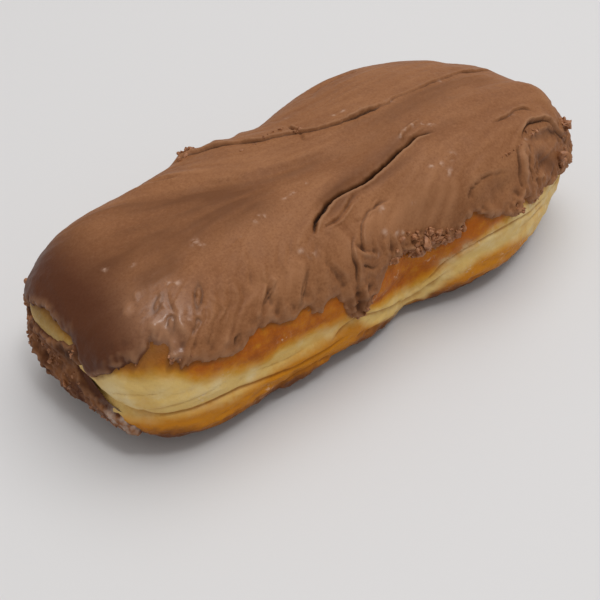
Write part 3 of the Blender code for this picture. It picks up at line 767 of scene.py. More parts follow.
def icingRelief(chart, points, look, streaks):
    # heights of the knife's marks over the plain icing
    along, across, around = chart["along"], chart["across"], chart["around"]
    # the second field holds painted shade in creases, at the feet of steps, on dent rims and in the
    # smear's hollow
    relief, crack = np.zeros(len(along)), np.zeros(len(along))
    shaken = layered(points, look["stepShake"], across)
    strength = layered(points, look["stepStrength"], 0.75)
    for height, fall, path in look["steps"]:
        def profile(side, height=height, fall=fall):
            lifted = np.exp(-np.maximum(side, 0) / fall) * ease(*look["stepRise"], side)
            return height * (lifted + swell(side, look["stepLip"]) - swell(side, look["undercut"]))
        relief += strength * markField(along, shaken, path, fall * 3, profile, 4.0)
        # a painted shadow line along the foot of the step
        stepShadow = markField(along, shaken, path, 1.2, lambda side: hump(side, *look["stepShadow"]), 4.0)
        darkness = 0.8 * min(height, 1) * np.clip(strength - 0.25, 0, 1)
        crack = np.maximum(crack, stepShadow * darkness)
    shaken = layered(points, look["creaseShake"], across)
    gapReach = look["creaseShadow"][1]
    width = layered(points, look["creaseWidth"], gapReach)
    for depth, front, back, path in look["creases"]:
        def profile(side, depth=depth, front=front, back=back):
            behind = 0.75 * hump(side, 0, 0.5) + 0.25 * hump(side, 0, back)
            dip = np.where(side < 0, hump(side, 0, front), behind)
            return depth * (swell(side, look["frontFold"]) + swell(side, look["backSwell"]) - dip)
        relief += markField(along, shaken, path, 7.0, profile, 5.0)
        # painted shade in the crease's gap
        gap = markField(along, shaken, path, 2.0, lambda side: hump(side, *look["creaseShadow"]), 5.0)
        crack = np.maximum(crack, gap * np.clip(width / gapReach, 0, 1.2))
    shakenAlong = layered(points, look["alongShake"], along)
    shakenAcross = layered(points, look["acrossShake"], across)
    unevenly = layered(points, look["unevenness"], 0.85)
    relief = softMarks(shakenAlong, shakenAcross, look["waves"], 6.0, relief)
    for kind in ("lines", "bows"):
        relief = softMarks(shakenAlong, shakenAcross, look[kind], 2.0, relief, unevenly)
    for place, side, length, width, slope, depth in look["dents"]:
        turn = math.radians(slope)
        lengthways = (along - place) * math.cos(turn) + (across - side) * math.sin(turn)
        sideways = (across - side) * math.cos(turn) - (along - place) * math.sin(turn)
        rim = hump((np.hypot(lengthways / length, sideways / width) - 1) * width, 0, 0.3)
        island = hump(lengthways, 0, length * 0.7) * hump(sideways, 0, width * 0.6)
        relief -= depth * rim - 0.5 * depth * island
        # painted shade on the rim of each dent
        crack = np.maximum(crack, 0.3 * rim)
    for height, reachAlong, reachAcross, place, side in look["swells"]:
        relief += height * hump(along, place, reachAlong) * hump(across, side, reachAcross)
    # painted glints round the grains
    glint = np.zeros(len(along))
    for place, side, size, height in look["grains"]:
        away = np.hypot((along - place) * 0.8, across - side)
        relief += 0.4 * height * hump(away, 0, 0.6 * size)
        glint = np.maximum(glint, hump(away, 0, 1.05 * size))
    # painted shade in the hollow of the smear
    crack = np.maximum(crack, patch(around, points[:, 2], look["darkHollow"]))
    torn = np.zeros(len(along))
    for place in look["torn"]:
        torn = np.maximum(torn, patch(around, points[:, 2], place))
    torn = np.where(chart["onTop"], torn * 0.5, torn)
    crisp = folded(points, 2.6, 5, 0.42) * 1.5 + folded(points, 1.3, 6, 0.42)
    rough = torn * (1.35 * crisp + 0.4 * cloud(points, 0.8, 4))
    relief += layered(points, look["softLumps"], rough)
    patchy = ease(-0.1, 0.5, cloud(points, 9, 11))
    relief += 0.03 * cloud(points, 1.6, 9) + (0.02 + 0.03 * patchy) * cloud(points, 0.75, 10)
    streak = np.clip(streaks(along, across), -2.5, 2.5)
    combed = ease(-66, -58, along) * ease(-12, -22, along) * ease(-12, -22, across)
    streakHeight = look["streakHeight"] + look["combedHeight"] * combed
    return relief + streakHeight * streak * (1 - 0.6 * torn), torn, streak, glint, crack


def cavities(piece, heights, turns):
    # how far each point stands proud of its surroundings, or lies below them
    links = np.zeros(len(piece.data.edges) * 2, np.int32)
    piece.data.edges.foreach_get("vertices", links)
    first, second = links.reshape(-1, 2).T
    count = np.maximum(np.bincount(links, minlength=len(heights)), 1)
    soft = heights.copy()
    for turn in range(turns):
        total = np.bincount(first, soft[second], len(heights))
        total += np.bincount(second, soft[first], len(heights))
        soft = 0.5 * soft + 0.5 * total / count
    return heights - soft


def roundedRim(full, inside, lip, look):
    # full thickness well inside, rounded off at the rim and sunk into the dough beyond it
    share = np.clip(inside / lip, 0, 1)
    depth, width = look["tuck"]
    return np.where(inside > 0, full * np.sqrt(1 - (1 - share) ** 2), depth * ease(0, width, inside))


def makeIcing(look):
    piece = cutBlock("chocolateIcing", look["cells"], look["lowestLevel"], look["cuts"])
    block = blockPlaces(piece)
    chart, height = chartOf(block), barPoints(block)[:, 2]
    thick, thin = icingRegions(chart, height, look)
    outside = np.maximum(thick, thin) < -look["cutMargin"]
    deleteFaces(piece, outside | chart["onBase"] | (block[:, 2] < look["lowestKept"]))
    print("icing sheet", len(piece.data.polygons), "faces")

    block = blockPlaces(piece)
    base = barPoints(block)
    writePoints(piece, base)
    normals = surfaceNormals(piece)
    chart = chartOf(block)
    thick, thin = icingRegions(chart, base[:, 2], look)
    relief, torn, streak, glint, crack = icingRelief(chart, base, look, combStreaks(look))
    around, height = chart["around"], base[:, 2]
    nearRim = thick < wellInside - 1
    thick = thick + (0.8 + torn) * layered(base, look["raggedEdge"]) * nearRim
    thin = thin + 0.8 * layered(base, look["smearEdge"])

    growth = (look["topThickness"] - look["rimThickness"]) * ease(*look["thickensAt"], height)
    beads = layered(base, look["beads"]) * (1 - swell(around, look["noBeads"]))
    beads = beads * hump(thick, 2.2, 1.6) * (thick < wellInside - 1)
    full = np.maximum(look["rimThickness"] + growth + relief + beads, look["leastThickness"])
    capThickness = roundedRim(full, thick, look["lipWidth"], look)
    coarse = ease(-0.5, 0.5, cloud(base, 6, 28)) * ease(*look["coarseRun"], around)
    crumbly = (0.35 + 0.65 * coarse) * (1.7 * folded(base, 2.7, 25) + 0.8 * cloud(base, 1.2, 26))
    crumbly += 0.2 * cloud(base, 0.7, 27)
    for shape in look["smearLumps"]:
        crumbly += patch(around, height, shape)
    thinFull = np.maximum(look["smearThickness"] + crumbly, look["leastSmear"])
    smearThickness = roundedRim(thinFull, thin, look["smearLip"], look)
    smearThickness *= 1 - ease(*look["smearUnderCap"], thick)
    thickness = np.maximum(capThickness, smearThickness)
    # how far each point stands proud or lies sunk, used to paint highlights on crests and shade in
    # hollows
    cavity = cavities(piece, thickness, look["cavityTurns"])
    cavity = np.where(cavity < 0, cavity * ease(*look["cavityFade"], np.maximum(thick, thin)), cavity)
    swollen = sideSwells(around, height)
    outer = base + normals * (thickness + swollen)[:, None]
    inner = base - normals * (look["innerDepth"] - np.minimum(swollen, 0))[:, None]

    gloss = np.clip(patch(chart["along"], chart["across"], look["glossPatch"]), 0, 1)
    nearEnd = ease(*look["nearEndRun"], chart["along"] + look["nearEndSlant"] * chart["across"])
    storeFields(piece, {
        "streak": streak, "torn": torn, "glint": glint, "crack": crack, "gloss": gloss,
        "smear": (smearThickness > capThickness) & (thin > 0),
        "cavity": np.clip(cavity / look["cavityDepth"], -1, 1),
        "shade": shadeField(chart, look), "sheen": patch(around, height, look["sheenPatch"]),
        "nearEnd": nearEnd * (1 - 0.75 * gloss),
    })
    applyModifier(piece, "SOLIDIFY", thickness=1.0, offset=-1)
    writePoints(piece, (np.concatenate([outer, inner]) + barMiddle) * mm)
    thinOut(piece, np.arange(len(outer) + len(inner)) >= len(outer), look["backingShare"])
    thinTo(piece, look["triangles"])
    piece.data.shade_smooth()
    print("icing", len(piece.data.polygons), "faces")
    sheet = {**chart, "height": height, "outer": outer, "normal": normals, "thickness": thickness}
    return piece, sheet


# Crumbs of icing at the torn edges
crumbLook = {
    "seed": 77, "leastIcing": 0.25, "stretch": (0.3, 1.5), "lumpiness": 0.9,
    # count, place and reach around the bar, height and reach, smallest and largest size, lift
    "clusters": [
        (44, -99.5, 2.6, 21, 3.4, 0.28, 0.75, 0.3), (22, -97, 3.5, 13, 4.5, 0.25, 0.7, 0.3),
        (26, -86, 6.0, 17, 3.5, 0.22, 0.7, 0.1), (16, -78, 5.0, 12, 4.0, 0.2, 0.6, 0.1),
        (24, -70, 4.0, 9, 3.0, 0.2, 0.4, 0.3), (8, -77.5, 1.0, 23.4, 1.0, 0.2, 0.45, 0.2),
        (60, 7, 7.5, 23.8, 1.9, 0.3, 1.35, 0.3), (30, 7, 7.0, 26.5, 1.6, 0.3, 1.1, 0.25),
        (18, -12, 2.4, 19, 3.0, 0.25, 0.55, 0.4), (14, 29, 2.4, 24.5, 1.2, 0.25, 0.6, 0.4),
        (12, 36, 3.0, 22, 1.0, 0.2, 0.5, 0.4), (14, 60, 2.4, 28, 1.2, 0.25, 0.55, 0.4),
        (12, 58, 2.6, 18.2, 1.2, 0.25, 0.6, 0.5), (16, 52, 4.0, 25, 3.0, 0.2, 0.5, 0.3),
        (10, 13, 2.0, 24, 0.8, 0.2, 0.5, 0.4), (14, -60, 4.0, 27.5, 1.2, 0.15, 0.35, 0.2),
        (30, 120, 22.0, 22.5, 1.6, 0.25, 0.6, 0.4), (24, -135, 16.0, 22.5, 1.6, 0.25, 0.6, 0.4),
        (16, 86, 10.0, 16, 1.4, 0.25, 0.6, 0.4), (10, 59.5, 0.7, 29.8, 0.6, 0.5, 1.2, 1.2),
        (10, 51, 0.7, 24.4, 0.8, 0.5, 1.2, 1.2),
    ],
    # the same on top: count, place and reach along, place and reach across, sizes, lift
    "topClusters": [
        (16, -23, 3.0, 25.6, 0.8, 0.25, 0.6, 0.5), (14, -8, 5.0, 12.2, 0.5, 0.18, 0.4, 0.3),
        (8, -0.5, 1.0, 8.6, 1.2, 0.2, 0.45, 0.4), (14, 50, 4.0, -26.2, 0.8, 0.2, 0.5, 0.4),
        (10, 38, 4.0, -33, 1.0, 0.2, 0.45, 0.3),
    ],
    "colour": (0.32, 0.13, 0.052), "pale": (0.46, 0.22, 0.11), "dark": (0.17, 0.062, 0.024),
}


def makeCrumbs(look, sheet):
    # one lumpy ball, repeated, then each crumb given its own shape and place
    chance = np.random.default_rng(look["seed"])
    spots = []
    for key, first, second in (("clusters", "around", "height"), ("topClusters", "along", "across")):
        usable = (sheet["thickness"] > look["leastIcing"]) & (sheet["onTop"] == (key == "topClusters"))
        usable = np.nonzero(usable)[0]
        a, b = sheet[first][usable], sheet[second][usable]
        for count, place, reach, side, sideReach, small, large, lift in look[key]:
            for turn in range(count):
                x = place + chance.normal(0, 0.6) * reach
                y = side + chance.normal(0, 0.6) * sideReach
                nearest = usable[np.argmin((a - x) ** 2 + (b - y) ** 2)]
                size = small + (large - small) * chance.random() ** 2
                spots.append((sheet["outer"][nearest], sheet["normal"][nearest], size, lift))
    deselectAll()
    bpy.ops.mesh.primitive_ico_sphere_add(subdivisions=2, radius=1)
    piece = bpy.context.object
    piece.name = "icingCrumbs"
    ball = readPoints(piece)
    applyModifier(piece, "ARRAY", count=len(spots))
    shapes = []
    for index, (place, normal, size, lift) in enumerate(spots):
        turned, _ = np.linalg.qr(chance.normal(0, 1, (3, 3)))
        stretch = size * chance.uniform(*look["stretch"], 3)
        lumpy = 1 + look["lumpiness"] * cloud(ball * 1.1 + index * 7.3, 1.0, 61)
        shape = (ball * lumpy[:, None] * stretch) @ turned.T
        shapes.append(shape + place + normal * size * lift * chance.random())
    writePoints(piece, (np.concatenate(shapes) + barMiddle) * mm)
    makeActive(piece)
    bpy.ops.object.mode_set(mode="EDIT")
    bpy.ops.mesh.select_all(action="SELECT")
    bpy.ops.mesh.normals_make_consistent(inside=False)
    bpy.ops.object.mode_set(mode="OBJECT")
    print("crumbs", len(spots))
    return piece


# The bar of dough
doughLook = {
    "cells": (12, 6, 4), "cuts": 19, "sinkUnderIcing": 0.7, "hiddenShare": 0.6,
    "lumps": [(0.2, 6, 33), (0.12, 2.6, 34), (0.06, 1.2, 35)],  # height, size, seed
    # folds low on the crust: depth, heights where they begin and are full, size, seed
    "crustFolds": [(0.75, 14, 8, 3.4, 36), (0.4, 16, 9, 1.7, 37)],
    "flakesRun": (11, 6.5), "flakesAround": (-24, 15),  # flaky crust: heights, place around and reach
    "cavityTurns": 20, "cavityDepth": 0.4,
    # patches of painted shade on the dough under the icing's lip, in the window and the notch of the
    # icing
    "lipShadePatches": [(1.0, -87, 25.5, 11, 3.4), (0.8, -61.6, 29, 4.6, 3.2)],
    # amount, place around, reach: a wider darker band below the icing's edge, and the low band of browned
    # crust and painted shade reaching further up at the corner
    "widerDarkBelowIcing": (1.3, -59, 7), "cornerBrownAndShade": (3.4, -60, 8),
    "bandShift": [(0.9, 9, 31), (0.5, 3.5, 32)], "bandSoftness": 2.4,
    # the pale band round the sides: place around, upper and lower height
    "band": [
        (-160, 20, 12), (-130, 19, 11), (-106, 19, 11), (-98, 25, 10), (-90, 26, 10), (-76, 26, 9),
        (-70, 25, 10), (-64, 25.6, 13), (-60, 26.4, 13.6), (-56, 24.6, 13.8), (-52, 22.6, 13.6),
        (-44, 21.4, 13),
        (-36, 19.2, 12.6), (-28, 18.3, 13), (-20, 17.6, 13.2), (-12, 16.8, 13), (-6.5, 14.2, 8),
        (0, 12, 5),
        (4, 11, 3), (8, 12.6, 6), (12, 15.2, 9.4), (16, 18, 12), (20, 20.2, 14), (28, 23.4, 13.8),
        (36, 23, 10.4), (44, 20.6, 6.6), (52, 21, 4), (60, 20, 4), (75, 19, 7), (100, 19, 10),
        (130, 20, 11), (160, 20, 12),
    ],
    # thin creases: depth, reach, path
    "creases": [
        (0.8, 0.5, [(-100, 13.6), (-84, 15), (-72, 16), (-63.6, 15.5), (-58.4, 15), (-52, 14.3),
                     (-41.7, 14), (-32, 11.8), (-27.9, 10.8), (-20.7, 10.7), (-13, 11.2)]),
        (0.35, 0.35, [(-65.4, 14.8), (-60.2, 17.2), (-56.7, 17.8), (-51.5, 17.7), (-44, 18.2)]),
        (0.3, 0.35, [(-38, 16.4), (-30, 14.4), (-23, 14.4)]),
        (0.3, 0.3, [(-70, 18), (-64, 21), (-56, 22.4)]),
        (0.7, 0.45, [(5, 9.4), (8, 12), (11.8, 15.9), (14.6, 18.2), (19.1, 19.7), (25.2, 20.4),
                     (31.1, 19.8),
                     (38, 18), (44, 16.6), (51, 15.2), (62, 14.8), (74, 15), (90, 15.4)]),
        (0.35, 0.35, [(9, 15), (12.6, 18.4), (17, 20.6), (22, 21.6)]),
        (0.3, 0.35, [(27, 18), (36, 15.6), (46, 13)]),
        (0.5, 0.6, [(94, 15.6), (110, 16.4), (130, 14.8), (158, 15.6)]),
        (0.5, 0.6, [(-158, 15.6), (-135, 16.2), (-118, 14.2), (-104, 13.4)]),
    ],
    # the lap at the waist, where the upper roll hangs over the lower one: height, fall, path
    "laps": [
        (1.0, 2.2, [(-20, 12), (-15.9, 14.6), (-12, 14.9), (-6.4, 12.2), (0, 9.4), (4, 8.4), (8, 10),
                    (12.1, 14)]),
    ],
    # painted highlights where fat gleams: place around, height, reach
    "fatGleamSpots": [
        (-1.6, 19.6, 1.2), (-1.9, 18.4, 1.0), (-4.6, 17.2, 0.9), (17.8, 14.6, 0.9), (17, 11.4, 1.2),
        (20.4, 12.6, 0.9),
        (18.6, 19, 1.0), (-8, 17.6, 0.8), (-34, 8, 1.4), (-37, 6, 1.2), (-50, 17, 1.4), (-30, 21, 1.2),
        (8, 18, 1.0), (26, 11, 1.0), (33, 10, 1.1), (-44, 20, 1.0),
    ],
    # the palest dough, with painted highlights on it: place around, height, reach
    "creamHighlightSpots": [
        (-68, 19, 3), (-64, 19.4, 3), (-60, 20, 2.6), (-53, 20.4, 2.6), (-46, 18.4, 2.4), (-38, 16, 2.2),
        (12, 16, 2.2),
        (16, 18.6, 2.2), (22, 20, 2.4), (30, 19.4, 2.6), (38, 17, 2.6), (45, 16, 3), (51, 14.6, 3),
    ],
    # wrinkles and dents low on the crust: height, reach, path
    "wrinkles": [
        (-0.5, 0.8, [(-38, 7.6), (-30, 6.2), (-24, 7.4)]),
        (-0.45, 0.7, [(-30, 3.4), (-22, 5), (-14, 4.2)]),
        (0.5, 0.9, [(-35, 5), (-28, 4), (-20, 3)]),
        (-0.6, 0.8, [(-14, 9.4), (-8, 7.4), (0, 5), (8, 5.4)]),
        (0.4, 0.9, [(-12, 6), (-4, 3.6), (4, 3)]), (-0.4, 0.6, [(-8, 4.4), (-2, 2.4)]),
        (0.35, 1.2, [(12, 8), (22, 9.6), (32, 8)]), (-0.3, 0.9, [(10, 5), (20, 5.6), (30, 4.6)]),
        (-0.3, 0.8, [(34, 16), (44, 13.4), (54, 9)]), (0.3, 1.4, [(-62, 19), (-52, 18), (-40, 16)]),
    ],
}


def spotField(first, second, spots):
    # round spots: place, height, reach
    field = np.zeros(len(first))
    for place, up, reach in spots:
        field = np.maximum(field, hump(np.hypot(first - place, second - up), 0, reach))
    return field


def doughFields(chart, points, look):
    # how far each point lies above and below the pale band, and below the icing's edge
    around, height = chart["around"], points[:, 2]
    keys = np.array(look["band"], float)
    upper = np.interp(around, keys[:, 0], keys[:, 1])
    lower = np.interp(around, keys[:, 0], keys[:, 2])
    shift, soft = layered(points, look["bandShift"]), look["bandSoftness"]
    above = ease(-soft, soft, height - upper + shift)
    below = ease(-soft, soft, lower - height + shift)
    edge = np.array(icingLook["edge"], float)
    toIcing = np.interp(around, *edge.T) - height
    return above, below, toIcing


def makeDough(look):
    piece = cutBlock("doughBar", look["cells"], -1.0, look["cuts"])
    block = blockPlaces(piece)
    base = barPoints(block, True)
    writePoints(piece, base)
    normals, chart = surfaceNormals(piece), chartOf(block)
    around, height = chart["around"], base[:, 2]
    relief = layered(base, look["lumps"])
    stretched = base * np.array([0.6, 1, 1.4])
    for amount, none, full, size, seed in look["crustFolds"]:
        relief += amount * ease(none, full, height) * folded(stretched, size, seed)
    flakes = ease(0.0, 0.22, cloud(stretched, 4.2, 39)) - 0.4
    relief += 0.9 * ease(*look["flakesRun"], height) * hump(around, *look["flakesAround"]) * flakes
    relief += 0.16 * ease(9, 15, height) * folded(base * np.array([0.3, 0.5, 1.6]), 2.2, 38)
    for depth, reach, path in look["creases"]:
        def profile(side, depth=depth, reach=reach):
            return 0.3 * depth * hump(side, 0, 2.2) - depth * hump(side, 0, reach)
        relief += markField(around, height, path, 4.0, profile, 6.0)
    for drop, fall, path in look["laps"]:
        def profile(side, drop=drop, fall=fall):
            hanging = 0.45 * drop * ease(0, 0.5, side) * np.exp(-np.maximum(side, 0) / 2.0)
            return hanging - drop * ease(0.2, -0.5, side) * np.exp(np.minimum(side, 0) / fall)
        relief += markField(around, height, path, 9.0, profile, 5.0)
    relief = softMarks(around, height, look["wrinkles"], 4.0, relief)
    relief += sideSwells(around, height)
    relief = np.where(chart["onTop"], -look["sinkUnderIcing"], relief) * ease(0.0, 1.5, height)
    above, below, toIcing = doughFields(chart, base, look)
    points = base + normals * relief[:, None]
    onFloor = height < 1e-6
    points[:, 2] = np.where(onFloor, 0, np.maximum(points[:, 2], 0))
    writePoints(piece, (points + barMiddle) * mm)
    # painted shade under the icing's lip
    window, notch = (patch(around, height, shape) for shape in look["lipShadePatches"])
    storeFields(piece, {
        "pit": np.clip(cavities(piece, relief, look["cavityTurns"]) / look["cavityDepth"], -1, 1),
        "above": above, "below": below,
        "dim": np.maximum(window, notch),
        "wet": spotField(around, height, look["fatGleamSpots"]),
        "cream": spotField(around, height, look["creamHighlightSpots"]),
        "toIcing": toIcing - swell(around, look["widerDarkBelowIcing"]),
        "height": height - swell(around, look["cornerBrownAndShade"]),
    })
    thinOut(piece, chart["onTop"] | onFloor, look["hiddenShare"])
    piece.data.shade_smooth()
    print("dough", len(piece.data.polygons), "faces")
    return piece


# Materials
class Wire:
    # a socket whose sums and products add their own Math nodes
    def __init__(self, recipe, socket):
        self.recipe, self.socket = recipe, socket

    def maths(self, operation, first, second=0.0):
        return self.recipe.node("Math", {"operation": operation}, {0: first, 1: second})

    def __add__(self, other):
        return self.maths("ADD", self, other)

    def __radd__(self, other):
        return self.maths("ADD", other, self)

    def __sub__(self, other):
        return self.maths("SUBTRACT", self, other)

    def __rsub__(self, other):
        return self.maths("SUBTRACT", other, self)

    def __mul__(self, other):
        return self.maths("MULTIPLY", self, other)

    def __rmul__(self, other):
        return self.maths("MULTIPLY", other, self)


class Recipe:
    # a material and the nodes it is made of
    def __init__(self, name):
        self.material = bpy.data.materials.new(name)
        self.material.use_nodes = True
        self.tree = self.material.node_tree
        self.shader = self.tree.nodes["Principled BSDF"]
        self.place = self.node("TexCoord", out="Object")

    def node(self, kind, settings=None, values=None, out=0):
        made = self.tree.nodes.new("ShaderNode" + kind)
        for name, value in (settings or {}).items():
            if name == "stops":
                ramp = made.color_ramp
                while len(ramp.elements) < len(value):
                    ramp.elements.new(0.5)
                for element, (position, colour) in zip(ramp.elements, value):
                    element.position = position
                    element.color = (*colour, 1)
            else:
                setattr(made, name, value)
        for name, value in (values or {}).items():
            self.join(value, made.inputs[name])
        return Wire(self, made.outputs[out])

    def join(self, value, socket):
        if isinstance(value, Wire):
            self.tree.links.new(value.socket, socket)
        else:
            socket.default_value = (*value, 1) if isinstance(value, tuple) else value

    def noise(self, scale, detail=2.0, roughness=0.5):
        return self.node("TexNoise", None, {
            "Vector": self.place, "Scale": scale, "Detail": detail, "Roughness": roughness,
        })

    def field(self, name):
        return self.node("Attribute", {"attribute_name": name}, None, "Fac")

    def ramp(self, value, stops):
        return self.node("ValToRGB", {"stops": stops}, {"Fac": value}, "Color")

    def spread(self, value, low, high, start=0.0, end=1.0):
        return self.node("MapRange", None, {
            "Value": value, "From Min": low, "From Max": high, "To Min": start, "To Max": end,
        })

    def paint(self, colour, *coats):
        # lays coats over a colour: the share of each, from 0 to 1, and its colour
        for share, coat in coats:
            colour = self.node("Mix", {"data_type": "RGBA"}, {0: share, 6: colour, 7: coat}, 2)
        return colour

    def bump(self, height, strength, distance, below=None):
        values = {"Height": height, "Strength": strength, "Distance": distance}
        if below:
            values["Normal"] = below
        return self.node("Bump", None, values)

    def finish(self, colour, roughness, normal, fixed):
        self.join(colour, self.shader.inputs["Base Color"])
        self.join(roughness, self.shader.inputs["Roughness"])
        self.join(normal, self.shader.inputs["Normal"])
        for name, value in fixed.items():
            self.shader.inputs[name].default_value = value
        return self.material


icingFinish = {
    "main": (0.262, 0.106, 0.038), "bright": (0.36, 0.165, 0.075),
    "light": (0.31, 0.136, 0.056), "dark": (0.175, 0.061, 0.019),
    "hollowShade": (0.060, 0.020, 0.007), "smear": (0.24, 0.095, 0.033), "crestHighlight": (0.36, 0.18, 0.09),
    "nearEnd": (0.068, 0.0155, 0.003), "shaded": (0.13, 0.045, 0.013), "sheen": (0.46, 0.36, 0.30),
    "glint": (0.52, 0.34, 0.25), "crack": (0.016, 0.006, 0.003),
    "roughness": (0.55, 0.66), "nearGloss": 0.12, "smearRoughness": 0.22,
}


def icingMaterial(look):
    recipe = Recipe("chocolate icing")
    streak, torn, smear = recipe.field("streak"), recipe.field("torn"), recipe.field("smear")
    cavity, shade = recipe.field("cavity"), recipe.field("shade")
    patches = recipe.noise(60, 3)
    # the shade field, painted shade and highlights, also tints the tone a little
    shade = shade * (1 + 0.22 * streak)
    tone = recipe.spread(patches + 0.1 * streak + 0.22 * shade, 0.2, 0.8)
    fine, speckle = recipe.noise(900, 3, 0.6), recipe.noise(1700, 3, 0.7)
    nearEnd = recipe.field("nearEnd")
    smudged = recipe.spread(recipe.noise(170, 3, 0.6), 0.36, 0.6)
    sheen = recipe.field("sheen") * recipe.spread(recipe.noise(420, 3), 0.38, 0.6)
    glint = recipe.field("glint") * recipe.spread(recipe.noise(520, 2), 0.46, 0.6)
    colour = recipe.paint(
        look["dark"],
        (tone, look["light"]), (0.4, look["main"]),
        (recipe.spread(fine, 0.4, 0.7, 0, 0.4), look["light"]),
        (recipe.spread(speckle, 0.5, 0.36, 0, 0.45), look["dark"]),
        (recipe.spread(speckle, 0.56, 0.68, 0, 0.3), look["bright"]),
        # painted shade from the shade field
        (recipe.spread(shade, -0.1, -1, 0, 0.85), look["shaded"]),
        (nearEnd * 0.9, look["nearEnd"]),
        # painted highlights from the shade field, over random bright speckle colour
        (recipe.spread(shade, 0.1, 1, 0, 0.6), look["bright"]),
        (smear * 0.85, recipe.paint(look["nearEnd"], (smudged, look["smear"]))),
        # painted highlights on crests and painted shade in hollows
        (recipe.spread(cavity, 0.12, 0.9, 0, 0.55), look["crestHighlight"]),
        (recipe.spread(cavity, -0.12, -0.9, 0, 0.75), look["hollowShade"]),
        # painted sheen on the smear's foot and painted glints on the grains
        (sheen * 0.9, look["sheen"]), (glint * 0.65, look["glint"]),
        # painted shade in creases, at the feet of steps, on dent rims and in the smear's hollow
        (recipe.field("crack") * 0.95, look["crack"]),
    )
    smooth, rough = look["roughness"]
    roughness = recipe.spread(recipe.noise(240, 2), 0.3, 0.7, smooth, rough)
    roughness = roughness - nearEnd * look["nearGloss"] + torn * 0.06 - glint * 0.3
    roughness = roughness + smear * look["smearRoughness"] - sheen * 0.4
    grain = recipe.bump(recipe.noise(1500, 3, 0.6), 0.3, 0.0002)
    pitted = recipe.bump(recipe.noise(480, 3, 0.6), 0.22, 0.0004, grain)
    normal = recipe.bump(streak, 0.1, 0.0003, pitted)
    recipe.join(recipe.field("gloss") * 0.75, recipe.shader.inputs["Coat Weight"])
    return recipe.finish(colour, roughness, normal, {"Specular IOR Level": 0.2, "Coat Roughness": 0.25})


def crumbMaterial(look):
    recipe = Recipe("icing crumbs")
    tone = recipe.noise(700, 3, 0.6)
    colour = recipe.ramp(tone, [(0.3, look["dark"]), (0.5, look["colour"]), (0.75, look["pale"])])
    normal = recipe.bump(recipe.noise(2400, 3, 0.6), 0.3, 0.0002)
    return recipe.finish(colour, 0.5, normal, {"Specular IOR Level": 0.4})


doughFinish = {
    "pale": (0.68, 0.46, 0.15), "gold": (0.56, 0.28, 0.032), "orange": (0.40, 0.10, 0.003),
    "amber": (0.53, 0.20, 0.007), "dim": (0.19, 0.105, 0.028), "rust": (0.25, 0.060, 0.003),
    "cream": (0.74, 0.60, 0.33), "pitShade": (0.33, 0.11, 0.010), "brownAndShade": (0.12, 0.036, 0.008),
    "wet": (0.72, 0.56, 0.40), "darkerBelowIcing": (0.20, 0.075, 0.016), "roughness": (0.42, 0.6),
}


def doughMaterial(look):
    recipe = Recipe("fried dough")
    above, below = recipe.field("above"), recipe.field("below")
    height = recipe.field("height")
    patches = recipe.noise(110, 4, 0.6)
    small = recipe.noise(420, 3, 0.6)
    baked = above + (patches - 0.5) * 0.5 + (small - 0.5) * 0.3
    colour = recipe.ramp(baked, [
        (0.0, look["pale"]), (0.36, look["gold"]), (0.7, look["amber"]), (1.0, look["orange"]),
    ])
    under = below + (patches - 0.5) * 0.7 + (small - 0.5) * 0.5
    blotches, mottled = recipe.noise(60, 4, 0.65), recipe.noise(210, 4, 0.7)
    rusty = recipe.spread(mottled, 0.5, 0.68, 0, 0.6) * recipe.spread(baked, 0.6, 1.0)
    glowing = recipe.spread(mottled, 0.46, 0.3, 0, 0.65) * recipe.spread(above + below, 0.3, 1.0)
    creamy = recipe.spread(recipe.noise(130, 3, 0.6), 0.5, 0.72, 0, 0.5) * (1 - above) * (1 - below)
    # palest dough spots, partly painted highlights
    creamHighlightSpots = recipe.field("cream") * recipe.spread(mottled, 0.36, 0.6)
    # darker low on the sides: partly browned crust, partly painted shade under the bar
    brownedAndShaded = recipe.spread(height + 4 * (small - 0.5) + 5 * (patches - 0.5), 8.4, 4.8, 0, 0.95) * below
    # darker, browner dough just below the icing's edge
    darkerBelowIcing = recipe.spread(recipe.field("toIcing") + (small - 0.5) * 1.6, 1.1, -0.1)
    greasy = recipe.spread(recipe.noise(260, 3, 0.6), 0.58, 0.7)
    # painted highlights where fat gleams, which also lower the roughness
    wet = recipe.field("wet") * recipe.spread(recipe.noise(1100, 2), 0.55, 0.66)
    lower = recipe.paint(look["amber"], (recipe.spread(height + 7 * patches, 13, 5), look["orange"]))
    colour = recipe.paint(
        colour,
        (recipe.spread(under, 0.1, 0.9), lower),
        (recipe.spread(blotches, 0.5, 0.72, 0, 0.4), look["amber"]),
        (rusty, look["rust"]), (glowing, look["amber"]),
        (creamy, look["cream"]), (creamHighlightSpots * 0.75, look["cream"]), (brownedAndShaded, look["brownAndShade"]),
        # painted shade under the icing's lip, in the window and the notch
        (recipe.field("dim") * recipe.spread(patches, 0.3, 0.6, 0.5, 0.85), look["dim"]),
        (darkerBelowIcing * 0.65, look["darkerBelowIcing"]),
        # painted shade in the pits and creases of the crust
        (recipe.spread(recipe.field("pit"), -0.15, -0.9, 0, 0.65), look["pitShade"]),
        (wet * 0.6, look["wet"]),
    )
    smooth, rough = look["roughness"]
    roughness = recipe.spread(patches, 0.3, 0.7, smooth, rough)
    roughness = roughness - greasy * 0.2 - wet * 0.25
    pores = recipe.bump(recipe.noise(700, 4, 0.6), 0.4, 0.0005)
    normal = recipe.bump(recipe.noise(170, 5, 0.65), 0.6, 0.0011, pores)
    return recipe.finish(colour, roughness, normal, {"Specular IOR Level": 0.15})


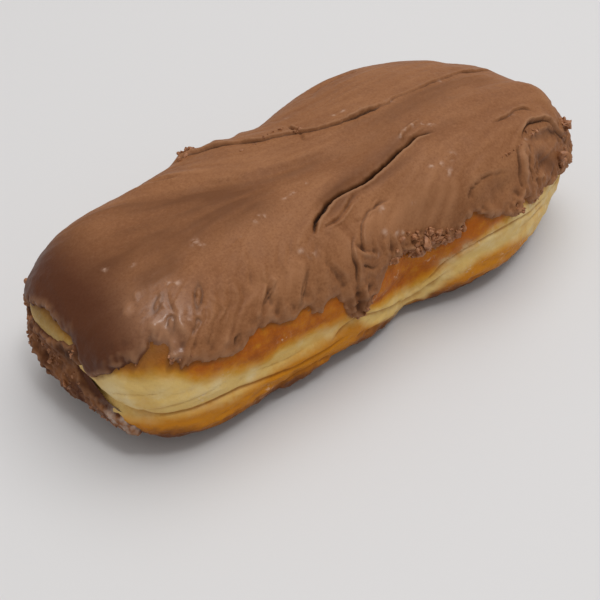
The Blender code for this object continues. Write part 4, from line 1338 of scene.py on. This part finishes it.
# Room: a pale floor, soft light and the camera
room = {
    "floorSize": 6.0, "floorColour": (0.66, 0.655, 0.66), "floorRoughness": 0.6,
    "worldColour": (0.92, 0.90, 0.88), "worldStrength": 0.545,
    # name, place, aim, size, power
    "lights": [
        ("keyLight", (0.32, 0.08, 1.15), (0, 0, 0.02), 1.2, 8.4),
        ("glintLight", (0.02, -0.42, 1.3), (0, 0, 0.02), 0.24, 2.6),
    ],
    "cameraPlace": (-0.13814, -0.14702, 0.17329), "cameraAim": (-0.01093, -0.00260, 0.0),
    "lens": 59.64, "sensor": 36.0,
}


def aimed(name, data, place, aim):
    # a light or camera that looks from its place to its aim
    made = bpy.data.objects.new(name, data)
    bpy.context.scene.collection.objects.link(made)
    made.location = place
    made.rotation_euler = (Vector(aim) - Vector(place)).to_track_quat("-Z", "Y").to_euler()
    return made


def makeRoom(look):
    deselectAll()
    bpy.ops.mesh.primitive_plane_add(size=look["floorSize"])
    floor = bpy.context.object
    floor.name = "floor"
    recipe = Recipe("pale floor")
    floor.data.materials.append(recipe.material)
    recipe.join(look["floorColour"], recipe.shader.inputs["Base Color"])
    recipe.join(look["floorRoughness"], recipe.shader.inputs["Roughness"])
    world = bpy.data.worlds.new("soft room")
    bpy.context.scene.world = world
    world.use_nodes = True
    background = world.node_tree.nodes["Background"]
    background.inputs[0].default_value = (*look["worldColour"], 1)
    background.inputs[1].default_value = look["worldStrength"]
    for name, place, aim, size, power in look["lights"]:
        light = bpy.data.lights.new(name, "AREA")
        light.size, light.energy = size, power
        aimed(name, light, place, aim)
    camera = aimed("camera", bpy.data.cameras.new("camera"), look["cameraPlace"], look["cameraAim"])
    camera.data.lens, camera.data.sensor_width = look["lens"], look["sensor"]
    camera.data.clip_start = 0.01
    bpy.context.scene.camera = camera
    bpy.context.scene.view_settings.view_transform = "Standard"


icingPiece, icingSheet = makeIcing(icingLook)
icingPiece.data.materials.append(icingMaterial(icingFinish))
crumbPiece = makeCrumbs(crumbLook, icingSheet)
crumbPiece.data.materials.append(crumbMaterial(crumbLook))
doughPiece = makeDough(doughLook)
doughPiece.data.materials.append(doughMaterial(doughFinish))
makeRoom(room)

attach(icingPiece, "root")
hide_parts("icing")
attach(crumbPiece, "root")
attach(doughPiece, "root")
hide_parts("dough")

print("done")
